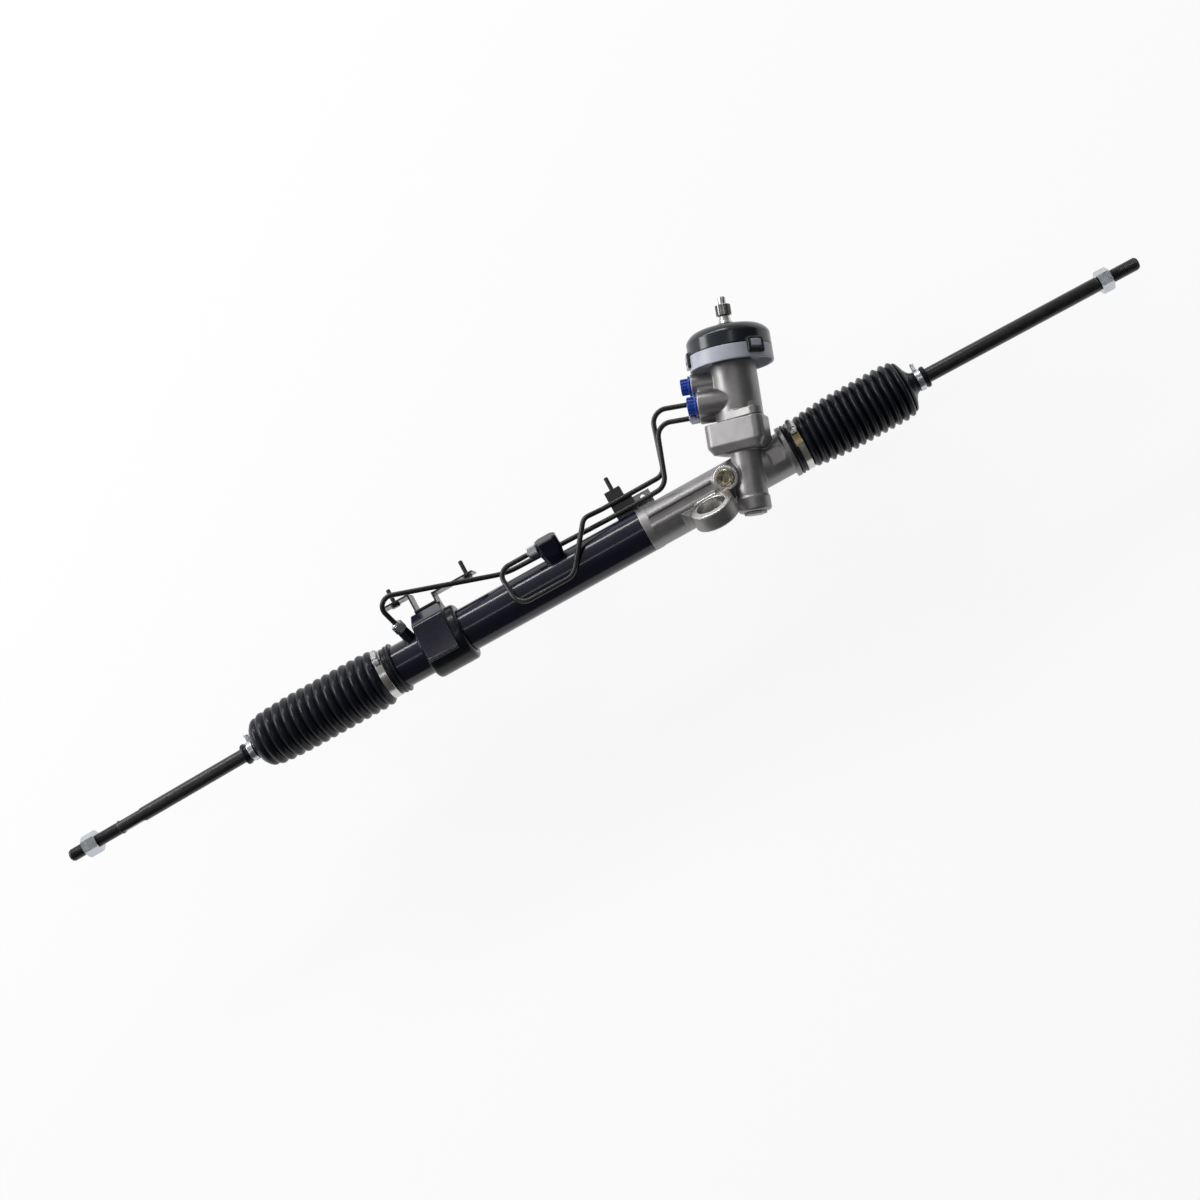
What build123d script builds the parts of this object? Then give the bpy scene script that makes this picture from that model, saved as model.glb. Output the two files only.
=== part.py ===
from build123d import *
from math import acos, cos, degrees, pi, radians, sin, sqrt, tan
import os

os.makedirs("parts", exist_ok=True)

# Hydraulic power steering rack, lying on a bench. X runs along the rack towards the
# pinion end, Z points up from the bench. Places on the gear are counted from a datum on
# the rack's axis, close to where the pinion tower crosses it.

# Where that datum lies from the origin, and how the gear leans in the car
datum_x = 202.5
axis_y = -64.461
axis_z = 32.5
pinion_x = -5.9
tower_lean = radians(19.65)
car_tilt = radians(30.0)

# Clearances
seat_gap = 0.02
running_gap = 0.05
bore_gap = 0.3
rubber_gap = 0.3
end_gap = 1.0
spring_gap = 0.2

# Rack bar and its teeth
rack_r = 13.0
rack_left = -517.8
rack_right = 112.8
tooth_module = 2.0
tooth_pressure = radians(20.0)
teeth_left = -98.0
teeth_right = 79.5
tooth_tip_height = 8.0
rack_tooth_depth = 4.5
tooth_backlash = 0.12

# Pinion
pinion_teeth = 8
pinion_shift = 0.53
pinion_addendum = 0.9
pinion_tip_clearance = 0.35
pinion_half_face = 17.0
pinion_sections = 9
flank_points = 4
journal_r = 6.0
journal_length = 11.0
bearing_seat_r = 9.0
pinion_head_r = 12.0
pinion_head_top = 60.0

# Hydraulic cylinder
tube_r = 24.0
tube_wall = 4.0
tube_left = -446.0
tube_shoulder = -131.0
tube_spigot_step = 2.0
tube_spigot_length = 22.0
boot_groove_depth = 1.5
boot_groove_width = 10.0
neck_groove_shift = 2.0
piston_centre = -324.0
piston_width = 22.0
piston_ring_width = 4.0
piston_ring_depth = 2.5
inner_seal_left = -191.0
inner_bush_length = 16.0
end_bush_length = 20.0
end_bush_inset = 12.0
seal_length = 6.0
retainer_thickness = 2.0
retainer_width = 3.0

# Rack housing casting
barrel_r = 23.4
barrel_bore_r = 14.5
housing_right = 59.0
collar_length = 10.5
end_flange_left = 37.5
end_flange_width = 5.5
end_flange_r = 28.0
neck_r = 24.0
barrel_flat_left = 18.0
barrel_flat_right = 34.0
barrel_flat_depth = 1.5
stop_bore_r = 20.0
stop_bore_depth = 13.0
rib_width = 3.0
rib_height = 2.6
rib_right = -47.0
tower_r = 16.4
tower_bottom = -43.0
foot_r = 17.6
foot_top = -28.0
foot_chamfer = 2.0
pinion_bore_gap = 0.9
bearing_r = 15.5
bearing_bottom = 24.0
bearing_top = 36.0
valve_chamber_r = 19.0
flange_bottom = 21.0
flange_top = 53.0
flange_lobe_r = 11.0
flange_lobe_left = 27.5
flange_lobe_front = 4.0
flange_side_r = 12.0
flange_side_right = 16.5
flange_bolt_left = -14.5
flange_bolt_front = 28.0
flange_bolt_r = 3.0
flange_bolt_inset = 4.0
bolt_head_r = 5.3
bolt_head_length = 5.0
flange_ear_r = 8.5
flange_foot = 8.0
flange_foot_taper = 35
lower_bearing_r = 10.5
lower_bearing_length = 11.0
lower_cap_r = 12.0
lower_cap_length = 3.0

# Mounting ear
ear_x = -57.5
ear_out = 45.0
ear_r = 24.4
ear_bore_r = 15.5
ear_half_height = 9.5
ear_chamfer = 1.6
ear_web_half = 7.0
ear_web_left = 34.0
ear_web_right = 24.0
ear_web_foot_r = 6.0

# Plug boss on the barrel's front
boss_x = -30.7
boss_y = 3.7
boss_front = 30.0
boss_r = 13.5
boss_lean = radians(14.0)
boss_drop = radians(10.0)
boss_depth = 18.0
plug_r = 9.6
plug_thread_r = 7.0
plug_proud = 2.5
plug_length = 9.0
plug_socket_r = 5.0

# Rack guide yoke, behind the rack
yoke_boss_r = 20.0
yoke_boss_back = -30.0
yoke_r = 15.0
yoke_back = -23.5
yoke_plug_r = 16.6
yoke_plug_proud = 1.6
yoke_plug_length = 5.0
yoke_socket_r = 7.0
yoke_spring_r = 7.0
yoke_spring_wire_r = 1.1
yoke_spring_turns = 1.4
yoke_pocket_r = 9.0
yoke_pocket_depth = 4.0

# Valve housing
valve_r = 24.5
valve_bore_r = 18.5
valve_top = 114.0
valve_neck_r = 20.5
valve_neck_top = 126.0
valve_flange_thickness = 9.0
port_face_upper = 46.0
port_face_lower = 42.0
port_edge = 1.5
port_upper_t = 98.4
port_upper_front = 0.0
port_upper_r = 12.0
port_lower_t = 76.0
port_lower_front = 10.0
port_lower_r = 13.0
port_a_t = 82.0
port_a_front = -12.0
port_b_t = 65.6
port_b_front = -3.0
port_pipe_r = 8.5
port_thread_r = 7.5
port_depth = 12.0
port_web_half = 11.0
port_web_inset = 3.0
plug_reach = 10.0
plug_flange = 2.5
plug_flange_thickness = 2.0
plug_wall = 2.0
plug_grip = 8.0
pipe_seat_r = 4.9
port_web_bottom = 64.0
port_web_top = 104.0

# Rotary valve and input shaft
sleeve_r = 18.0
sleeve_bottom = 52.0
sleeve_top = 106.0
sleeve_ring_r = 18.45
sleeve_ring_depth = 1.2
sleeve_ring_width = 2.0
sleeve_ring_count = 4
spool_r = 11.95
spool_bottom = 61.0
spigot_r = 7.0
spigot_bottom = 46.0
input_r = 9.5
input_taper_bottom = 152.0
input_taper_top = 160.0
input_taper_r = 6.6
input_neck_r = 5.5
spline_r = 7.8
spline_bottom = 165.5
spline_top = 177.5
tip_groove_r = 3.2
tip_groove_width = 1.4
spline_teeth = 18
spline_depth = 0.7
tip_r = 4.1
tip_top = 186.0
tip_chamfer = 0.8
torsion_bar_r = 3.0
torsion_bar_bottom = 6.0
torsion_bar_top = 170.0
upper_bearing_length = 8.0
upper_bearing_r = 15.0
input_seal_length = 5.0

# Dust cap and ring, measured up the tower, and the loops that hook over the ring's pegs
cap_r = 44.2
cap_wall = 3.0
cap_bottom = 127.0
cap_skirt = 14.0
cap_shoulder_r = 16.0
cap_crown_r = 31.0
cap_crown_rise = 10.0
cap_dish_rise = 1.5
cap_lip_r = 13.0
cap_lip_rise = 3.5
ring_bottom = 111.0
ring_wall = 2.5
ring_web_thickness = 3.0
ring_web_top = 124.5
ring_rim_rise = 7.0
ring_slot_width = 7.0
ring_slot_inner_r = 30.0
ring_slot_outer_r = 38.0
loop_count = 3
loop_turn = 8.0
loop_width = 20.0
loop_drop = 12.0
loop_rise = 4.0
loop_thickness = 2.4
loop_round = 2.5
peg_width = 12.0
peg_low = -5.5
peg_high = 2.0
peg_gap = 1.2
peg_proud = 3.2

# Boots and clamps
boot_r = 32.5
boot_wall = 2.2
boot_folds = 13
fold_depth_left = 4.6
fold_depth_right = 5.6
boot_left_small = -625.5
boot_left_cone = -606.5
boot_left_folds_end = -458.0
boot_left_shoulder = 7.0
boot_right_shoulder = 12.0
boot_right_small = 202.5
boot_right_cone = 180.0
boot_right_folds_end = 62.5
boot_cuff_wall = 2.5
boot_small_wall = 2.4
cuff_left_end = -428.5
cuff_right_end = 43.3
clamp_width = 9.0
clamp_thickness = 1.4
clamp_left_x = -449.0
clamp_right_x = 53.0
clamp_screw_r = 3.2
clamp_screw_length = 13.0
clamp_screw_sunk = 1.0
clamp_screw_turn = radians(40.0)
clip_wire_r = 1.2
clip_ear = 8.0
clip_left_from_ball = 77.0
clip_right_from_ball = 62.0

# Tie rods, measured from the ball centre
ball_to_tip = 312.0
droop_left = radians(1.25)
droop_right = radians(0.75)
ball_r = 14.0
ball_neck_r = 6.6
rod_r = 7.8
rod_shoulder = 34.0
thread_r = 7.0
thread_relief = 0.25
thread_shoulder = 1.0
tip_round = 3.0
thread_length_left = 64.0
thread_length_right = 46.0
flat_length = 29.0
flat_half_width = 6.2
nut_left_from_tip = 20.0
nut_left_length = 17.0
nut_right_from_tip = 32.0
nut_right_length = 13.0
nut_across_flats = 22.0
nut_face_gap = 0.5
socket_r = 18.5
socket_back = 20.0
socket_front = 9.5
socket_lip_r = 11.6
socket_edge = 1.5
socket_stem_r = 8.0
socket_stem_length = 16.0
seat_wall = 1.6
lock_washer_thickness = 1.6
lock_washer_r = 16.5

# Saddle bracket and bush
saddle_left = -394.0
saddle_width = 36.0
saddle_top = 39.5
saddle_top_half = 15.5
saddle_side_out = 33.8
saddle_side_up = 5.5
saddle_lip = 5.0
saddle_sheet = 2.5
saddle_bend_r = 5.0
bush_left = -397.0
bush_length = 49.0
bush_r = 32.3
bush_crown = 4.5

# Stud strip standing on the saddle
strip_sheet = 2.0
strip_back = -24.0
strip_front = 2.0
strip_leg_left = -388.5
strip_leg_right = -362.0
strip_left_end = -421.0
strip_left_y = 65.0
strip_right_end = -313.5
strip_right_y = 54.0
strip_foot_y = 24.0
stud_r = 2.4
stud_length = 16.5
stud_left_x = -406.0
stud_right_x = -322.0
stud_z = -11.0
stud_head_r = 5.0
stud_head_thickness = 3.0

# Ports and pipes on the cylinder
pipe_r = 2.75
nut_r = 6.9
nut_length = 11.0
mid_port_x = -227.0
mid_block_width = 25.0
mid_block_half = 9.0
mid_block_sunk = 8.0
mid_block_waist_rise = 8.0
mid_block_rise = 24.5
mid_block_corner = 4.5
mid_block_edge = 2.5
mid_foot_width = 17.5
mid_foot_deep = 13.5
mid_nut_rise = 17.2
end_port_x = -404.0
end_port_lean = radians(11.0)
end_port_r = 6.2
end_port_foot_r = 6.8
end_port_sunk = 3.0
end_port_rise = 12.0
end_port_bend_rise = 60.6
clamp_block_left = -150.5
clamp_block_right = -132.5
clamp_foot_right = -126.0
clamp_block_back = -12.0
clamp_block_front = 4.0
clamp_block_rise = 31.5
clamp_foot_rise = 17.0
clamp_stud_length = 15.5
plate_left = -125.7
plate_right = -107.0
plate_rise = 15.0
plate_thickness = 2.5
plate_hole_r = 2.6
plate_foot = 10.0
pipe_front = 5.6
upper_pipe_rise = 17.8
upper_run_out = 92.0
upper_drop_x = -85.0
upper_clamp_x = -160.0
upper_turn_x = -181.0
upper_turn_z = 14.0
upper_cross_x = -217.0
upper_low_y = -8.6
upper_cross_z = 33.0
upper_low_x = -282.0
upper_return_x = -287.0
lower_pipe_rise = 5.2
lower_run_out = 88.0
lower_drop_x = -89.0
lower_drop_z = 12.5
lower_clamp_right = -123.0
lower_clamp_left = -158.0
lower_dip_x = -283.0
lower_dip_y = 33.0
lower_dip_z = -2.0
pipe_bend = 15.0
pipe_tight_bend = 12.0
pipe_wide_bend = 20.0
pipe_gentle_bend = 60.0

# Sizes that follow from the ones above
tube_bore_r = tube_r - tube_wall
tube_spigot_r = tube_r - tube_spigot_step
retainer_inner_r = tube_bore_r - retainer_width
mid_block_foot = tube_r - mid_block_sunk
mid_block_waist = tube_r + mid_block_waist_rise
mid_block_top = tube_r + mid_block_rise
mid_nut_up = tube_r + mid_nut_rise
end_port_foot = tube_r - end_port_sunk
end_port_top = tube_r + end_port_rise
end_port_bend = tube_r + end_port_bend_rise
pipe_level_a = tube_r + upper_pipe_rise
pipe_level_b = tube_r + lower_pipe_rise
clamp_block_top = tube_r + clamp_block_rise
clamp_foot_top = tube_r + clamp_foot_rise
clamp_block_bottom = tube_r + rubber_gap
plate_top = tube_r + plate_rise
tooth_pitch = pi * tooth_module
rack_datum = tooth_tip_height - tooth_module
pitch_r = pinion_teeth * tooth_module / (2 * cos(tower_lean))
pinion_offset = rack_datum + pitch_r + pinion_shift * tooth_module
transverse_pressure = radians(degrees(acos(1 / sqrt(1 + (tan(tooth_pressure) / cos(tower_lean)) ** 2))))
base_r = pitch_r * cos(transverse_pressure)
pinion_tip_r = pitch_r + tooth_module * (pinion_shift + pinion_addendum)
pinion_root_r = pinion_offset - tooth_tip_height - pinion_tip_clearance
pinion_bore_r = pinion_tip_r + pinion_bore_gap
ball_left = rack_left - socket_back
ball_right = rack_right + socket_back
seat_r = ball_r + running_gap + seat_wall
nut_thread_r = thread_r - thread_relief
ring_rim_r = cap_r - cap_wall - seat_gap
cap_shoulder = cap_bottom + cap_skirt
cap_crown_top = cap_shoulder + cap_crown_rise
cap_top = cap_crown_top + cap_dish_rise
cap_lip_top = cap_top + cap_lip_rise


def spot(x, y=0.0, z=0.0):
    return (datum_x + x, axis_y + y, axis_z + z)


def across_rack(x, y=0.0, z=0.0):
    return Plane(origin=spot(x, y, z), x_dir=(0, 1, 0), z_dir=(1, 0, 0))


def tower_point(t, left=0.0, front=0.0):
    x = pinion_x + t * sin(tower_lean) - left * cos(tower_lean)
    y = t * cos(tower_lean) + left * sin(tower_lean)
    return spot(x, y, pinion_offset + front)


tower_up = (sin(tower_lean), cos(tower_lean), 0)
tower_side = (-cos(tower_lean), sin(tower_lean), 0)


# Local x points to the tower's left, where the ports are, and local y to the front
def across_tower(t):
    return Plane(origin=tower_point(t), x_dir=tower_side, z_dir=tower_up)


def across_port(t, front, left=0.0):
    return Plane(origin=tower_point(t, left, front), x_dir=(0, 0, 1), z_dir=tower_side)


# The half plane that holds the tower's profiles: local x is the radius, local y is t
tower_profile = Plane(origin=tower_point(0), x_dir=tower_side, z_dir=(0, 0, -1))
tower_axis = Axis(tower_point(0), tower_up)


# Square to the tower, with local x turned round it from the left
def turned_tower(t, turn):
    way = Vector(*tower_side).rotate(Axis((0, 0, 0), tower_up), turn)
    return Plane(origin=tower_point(t), x_dir=way, z_dir=tower_up)


# Facing out of the tower at that turn, with local y up the tower
def facing_out(t, turn):
    level = turned_tower(t, turn)
    return Plane(origin=level.origin, x_dir=level.y_dir, z_dir=level.x_dir)


# Up and out follow the car: up is the way that the mounting bolts stand
def car_point(x, up, out):
    y = up * cos(car_tilt) - out * sin(car_tilt)
    z = up * sin(car_tilt) + out * cos(car_tilt)
    return spot(x, y, z)


car_up = (0, cos(car_tilt), sin(car_tilt))


# Local x runs along the rack and local y points inwards
def across_car(x, up, out=0.0):
    return Plane(origin=car_point(x, up, out), x_dir=(1, 0, 0), z_dir=car_up)


# Local x is out and local y is up, looking along the rack
def car_section(x):
    out_way = (0, -sin(car_tilt), cos(car_tilt))
    return Plane(origin=spot(x), x_dir=out_way, z_dir=(-1, 0, 0))


rack_profile = Plane(origin=spot(0), x_dir=(1, 0, 0), z_dir=(0, -1, 0))
rack_axis = Axis(spot(0), (1, 0, 0))


def write(piece, label):
    piece.part.label = label
    export_step(piece.part, f"parts/{label}.step")


def sleeve(plane, length, outer, inner):
    with BuildPart() as piece:
        with BuildSketch(plane):
            Circle(outer)
            Circle(inner, mode=Mode.SUBTRACT)
        extrude(amount=length)
    return piece


# Rack housing: barrel, lower tower, valve flange, mounting ear, plug boss and yoke boss
boss_way = (-sin(boss_lean), -sin(boss_drop), cos(boss_lean))
boss_plane = Plane(origin=spot(boss_x, boss_y, boss_front), x_dir=(0, 1, 0), z_dir=boss_way)


bolt_places = ((flange_bolt_left, flange_bolt_front), (-flange_bolt_left, -flange_bolt_front))
yoke_plane = Plane(origin=spot(pinion_x, 0, yoke_boss_back), x_dir=(1, 0, 0), z_dir=(0, 0, 1))
barrel_front = Plane(origin=spot(0, 0, barrel_r), x_dir=(1, 0, 0), z_dir=(0, 0, 1))
ear_profile = Plane(
    origin=car_point(ear_x, 0, ear_out), x_dir=(1, 0, 0), z_dir=(0, -sin(car_tilt), cos(car_tilt))
)


with BuildPart() as rack_housing:
    with BuildSketch(across_rack(tube_shoulder)):
        Circle(tube_r)
    extrude(amount=collar_length)
    with BuildSketch(across_rack(tube_shoulder + collar_length)):
        Circle(barrel_r)
    extrude(amount=end_flange_left - tube_shoulder - collar_length)
    for side in (-1, 1):
        with BuildSketch(across_rack(tube_shoulder + collar_length)):
            with Locations((side * rib_width * 2 + rib_width, barrel_r)):
                Rectangle(rib_width, 2 * rib_height)
            with Locations((-side * rib_width * 2 - rib_width, -barrel_r)):
                Rectangle(rib_width, 2 * rib_height)
        extrude(amount=rib_right - tube_shoulder - collar_length)
    with BuildSketch(across_rack(end_flange_left)):
        Circle(end_flange_r)
    extrude(amount=end_flange_width)
    with BuildSketch(barrel_front):
        with Locations(((barrel_flat_left + barrel_flat_right) / 2, 0)):
            Rectangle(barrel_flat_right - barrel_flat_left, 2 * barrel_r)
    extrude(amount=-barrel_flat_depth, mode=Mode.SUBTRACT)
    with BuildSketch(tower_profile):
        with BuildLine():
            Polyline(
                (0, tower_bottom), (foot_r - foot_chamfer, tower_bottom),
                (foot_r, tower_bottom + foot_chamfer), (foot_r, foot_top),
                (tower_r, foot_top + foot_r - tower_r), (tower_r, flange_bottom + flange_foot),
                (0, flange_bottom + flange_foot), close=True,
            )
        make_face()
    revolve(axis=tower_axis)
    with BuildSketch(across_tower(flange_bottom + flange_foot)) as flange_outline:
        with BuildLine():
            CenterArc((flange_lobe_left, flange_lobe_front), flange_lobe_r, 0, 360)
            CenterArc((-flange_side_right, 0), flange_side_r, 0, 360)
            for place in bolt_places:
                CenterArc(place, flange_ear_r, 0, 360)
        make_hull()
    extrude(amount=flange_top - flange_bottom - flange_foot)
    extrude(flange_outline.sketch, amount=-flange_foot, taper=flange_foot_taper)
    with BuildSketch(ear_profile):
        with BuildLine():
            Polyline(
                (0, -ear_half_height), (ear_r - ear_chamfer, -ear_half_height),
                (ear_r, ear_chamfer - ear_half_height), (ear_r, ear_half_height - ear_chamfer),
                (ear_r - ear_chamfer, ear_half_height),
                (0, ear_half_height), close=True,
            )
        make_face()
    revolve(axis=Axis(car_point(ear_x, 0, ear_out), car_up))
    with BuildSketch(across_car(ear_x, -ear_web_half, ear_out)):
        with BuildLine():
            CenterArc((0, 0), ear_r - rib_width, 0, 360)
            CenterArc((-ear_web_left, ear_out), ear_web_foot_r, 0, 360)
            CenterArc((ear_web_right, ear_out), ear_web_foot_r, 0, 360)
        make_hull()
    extrude(amount=2 * ear_web_half)
    with BuildSketch(boss_plane):
        Circle(boss_r)
    extrude(amount=-boss_depth)
    with BuildSketch(yoke_plane):
        Circle(yoke_boss_r)
    extrude(amount=-yoke_boss_back)
    with BuildSketch(across_rack(end_flange_left)):
        Circle(neck_r)
    extrude(amount=housing_right - end_flange_left)
    # Bores: rack, tube socket, boot-end stop, pinion, bearings, valve chamber, yoke
    with BuildSketch(across_rack(tube_shoulder)):
        Circle(barrel_bore_r)
    extrude(amount=housing_right - tube_shoulder, mode=Mode.SUBTRACT)
    with BuildSketch(across_rack(tube_shoulder)):
        Circle(tube_spigot_r + seat_gap)
    extrude(amount=tube_spigot_length + seat_gap, mode=Mode.SUBTRACT)
    with BuildSketch(across_rack(housing_right)):
        Circle(stop_bore_r)
    extrude(amount=-stop_bore_depth, mode=Mode.SUBTRACT)
    with BuildSketch(rack_profile):
        with Locations((clamp_right_x + neck_groove_shift, neck_r)):
            Rectangle(boot_groove_width, 2 * boot_groove_depth)
    revolve(axis=rack_axis, mode=Mode.SUBTRACT)
    with BuildSketch(across_tower(-pinion_half_face - end_gap)):
        Circle(pinion_bore_r)
    extrude(amount=bearing_bottom + pinion_half_face + end_gap, mode=Mode.SUBTRACT)
    with BuildSketch(across_tower(tower_bottom)):
        Circle(lower_bearing_r + seat_gap)
    extrude(amount=-tower_bottom - pinion_half_face - end_gap, mode=Mode.SUBTRACT)
    with BuildSketch(across_tower(bearing_bottom)):
        Circle(bearing_r + seat_gap)
    extrude(amount=bearing_top - bearing_bottom, mode=Mode.SUBTRACT)
    with BuildSketch(across_tower(bearing_top)):
        Circle(valve_chamber_r)
    extrude(amount=flange_top - bearing_top, mode=Mode.SUBTRACT)
    with BuildSketch(across_tower(flange_top)):
        with Locations(*bolt_places):
            Circle(flange_bolt_r)
    extrude(amount=flange_bottom - flange_top, mode=Mode.SUBTRACT)
    with BuildSketch(across_car(ear_x, -ear_half_height, ear_out)):
        Circle(ear_bore_r)
    extrude(amount=2 * ear_half_height, mode=Mode.SUBTRACT)
    with BuildSketch(boss_plane):
        Circle(plug_thread_r + seat_gap)
    extrude(amount=-plug_length, mode=Mode.SUBTRACT)
    with BuildSketch(yoke_plane):
        Circle(yoke_r + running_gap)
    extrude(amount=-yoke_boss_back, mode=Mode.SUBTRACT)
    with BuildSketch(yoke_plane):
        Circle(yoke_plug_r + seat_gap)
    extrude(amount=yoke_plug_length - yoke_plug_proud, mode=Mode.SUBTRACT)
write(rack_housing, "rack_housing")

# Hexagon socket plug in the front boss
with BuildPart() as housing_plug:
    with BuildSketch(boss_plane):
        Circle(plug_thread_r)
    extrude(amount=-plug_length)
    with BuildSketch(boss_plane):
        Circle(plug_r)
    extrude(amount=plug_proud)
    with BuildSketch(boss_plane.offset(plug_proud)):
        RegularPolygon(plug_socket_r, 6)
    extrude(amount=-plug_length + plug_proud, mode=Mode.SUBTRACT)
write(housing_plug, "housing_plug")

# Cylinder tube
with BuildPart() as cylinder_tube:
    with BuildSketch(across_rack(tube_left)):
        Circle(tube_r)
    extrude(amount=tube_shoulder - tube_left)
    with BuildSketch(across_rack(tube_shoulder)):
        Circle(tube_spigot_r)
    extrude(amount=tube_spigot_length)
    with BuildSketch(across_rack(tube_left)):
        Circle(tube_bore_r)
    extrude(amount=tube_shoulder + tube_spigot_length - tube_left, mode=Mode.SUBTRACT)
    with BuildSketch(rack_profile):
        with Locations((clamp_left_x, tube_r)):
            Rectangle(boot_groove_width, 2 * boot_groove_depth)
    revolve(axis=rack_axis, mode=Mode.SUBTRACT)
    for x in (end_port_x, mid_port_x):
        with BuildSketch(across_car(x, 0)):
            Circle(pipe_r)
        extrude(amount=tube_r, mode=Mode.SUBTRACT)
write(cylinder_tube, "cylinder_tube")

# Rack bar with straight teeth cut in its front
gap_half = tooth_pitch / 4 + tooth_backlash / 2
gap_root_half = gap_half - (rack_datum - tooth_tip_height + rack_tooth_depth) * tan(tooth_pressure)
gap_top_half = gap_half + (rack_r - rack_datum) * tan(tooth_pressure)
rack_root = tooth_tip_height - rack_tooth_depth
gap_indices = range(int(teeth_left / tooth_pitch), int(teeth_right / tooth_pitch) + 1)
teeth_middle = pinion_x + (teeth_left + teeth_right) / 2
with BuildPart() as rack_bar:
    with BuildSketch(across_rack(rack_left)):
        Circle(rack_r)
    extrude(amount=rack_right - rack_left)
    with BuildSketch(rack_profile):
        with Locations((teeth_middle, tooth_tip_height)):
            Rectangle(teeth_right - teeth_left, rack_r, align=(Align.CENTER, Align.MIN))
        with Locations(*[(pinion_x + index * tooth_pitch, 0) for index in gap_indices]):
            Polygon(
                (-gap_root_half, rack_root), (gap_root_half, rack_root),
                (gap_top_half, rack_r), (-gap_top_half, rack_r), align=None,
            )
    extrude(amount=rack_r, both=True, mode=Mode.SUBTRACT)
    for end, way in ((rack_left, 1), (rack_right, -1)):
        with BuildSketch(across_rack(end)):
            Circle(socket_stem_r + seat_gap)
        extrude(amount=way * (socket_stem_length + end_gap), mode=Mode.SUBTRACT)
write(rack_bar, "rack_bar")

# Piston and its ring
with BuildPart() as piston:
    with BuildSketch(across_rack(piston_centre - piston_width / 2)):
        Circle(tube_bore_r - bore_gap)
        Circle(rack_r + seat_gap, mode=Mode.SUBTRACT)
    extrude(amount=piston_width)
    with BuildSketch(across_rack(piston_centre - piston_ring_width / 2)):
        Circle(tube_bore_r)
        Circle(tube_bore_r - bore_gap - piston_ring_depth, mode=Mode.SUBTRACT)
    extrude(amount=piston_ring_width, mode=Mode.SUBTRACT)
write(piston, "piston")
ring_inner = tube_bore_r - bore_gap - piston_ring_depth + seat_gap
ring_start = piston_centre - piston_ring_width / 2 + seat_gap
piston_ring = sleeve(
    across_rack(ring_start), piston_ring_width - 2 * seat_gap, tube_bore_r - running_gap, ring_inner
)
write(piston_ring, "piston_ring")

# Bulkhead bush and seals that guide the rack bar at each end of the cylinder
gland_r = tube_bore_r - seat_gap
rack_clear_r = rack_r + rubber_gap
inner_bush = sleeve(
    across_rack(inner_seal_left + seal_length), inner_bush_length, gland_r, rack_r + running_gap
)
write(inner_bush, "inner_bush")
inner_seal = sleeve(across_rack(inner_seal_left), seal_length, gland_r, rack_clear_r)
write(inner_seal, "inner_seal")
end_bush_left = tube_left + end_bush_inset
end_bush = sleeve(across_rack(end_bush_left), end_bush_length, gland_r, rack_r + running_gap)
write(end_bush, "end_bush")
end_seal = sleeve(across_rack(end_bush_left + end_bush_length), seal_length, gland_r, rack_clear_r)
write(end_seal, "end_seal")
end_retainer = sleeve(
    across_rack(end_bush_left - retainer_thickness), retainer_thickness, gland_r, retainer_inner_r
)
write(end_retainer, "end_retainer")

# Pinion: helical teeth lofted through turned sections, journals and a hollow head
half_tooth = (pi / 2 + 2 * pinion_shift * cos(tower_lean) * tan(transverse_pressure)) / pinion_teeth
flank_start = half_tooth + tan(transverse_pressure) - transverse_pressure - tooth_backlash / (4 * pitch_r)


def flank_point(radius, side, middle):
    pressure = acos(min(1, base_r / radius))
    angle = middle + side * (flank_start - tan(pressure) + pressure)
    return (radius * cos(angle), radius * sin(angle))


def pinion_section(turn):
    step = (pinion_tip_r - base_r) / (flank_points - 1)
    radii = [base_r + step * index for index in range(flank_points)]
    with BuildSketch(mode=Mode.PRIVATE) as section:
        with BuildLine():
            for tooth in range(pinion_teeth):
                middle = turn - pi / 2 + tooth * 2 * pi / pinion_teeth
                following = middle + 2 * pi / pinion_teeth
                rising = [flank_point(radius, -1, middle) for radius in radii]
                falling = [flank_point(radius, 1, middle) for radius in reversed(radii)]
                root_out = middle + flank_start
                root_in = following - flank_start
                root_a = (pinion_root_r * cos(root_out), pinion_root_r * sin(root_out))
                root_b = (pinion_root_r * cos(root_in), pinion_root_r * sin(root_in))
                Spline(*rising)
                Line(rising[-1], falling[0])
                Spline(*falling)
                Line(falling[-1], root_a)
                Line(root_a, root_b)
                Line(root_b, flank_point(base_r, -1, following))
        make_face()
    return section.sketch


with BuildPart() as pinion_shaft:
    for index in range(pinion_sections):
        t = pinion_half_face * (2 * index / (pinion_sections - 1) - 1)
        with BuildSketch(across_tower(t)):
            add(pinion_section(t * tan(tower_lean) / pitch_r))
    loft()
    with BuildSketch(tower_profile):
        with BuildLine():
            Polyline(
                (0, -pinion_half_face - journal_length), (journal_r, -pinion_half_face - journal_length),
                (journal_r, -pinion_half_face), (0, -pinion_half_face), close=True,
            )
        make_face()
        with BuildLine():
            Polyline(
                (0, pinion_half_face), (bearing_seat_r, pinion_half_face),
                (bearing_seat_r, bearing_top + end_gap),
                (pinion_head_r, bearing_top + end_gap), (pinion_head_r, pinion_head_top),
                (spigot_r + running_gap, pinion_head_top), (spigot_r + running_gap, spigot_bottom - end_gap),
                (0, spigot_bottom - end_gap), close=True,
            )
        make_face()
    revolve(axis=tower_axis)
    with BuildSketch(across_tower(torsion_bar_bottom - end_gap)):
        Circle(torsion_bar_r + seat_gap)
    extrude(amount=spigot_bottom - torsion_bar_bottom, mode=Mode.SUBTRACT)
write(pinion_shaft, "pinion_shaft")

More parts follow.
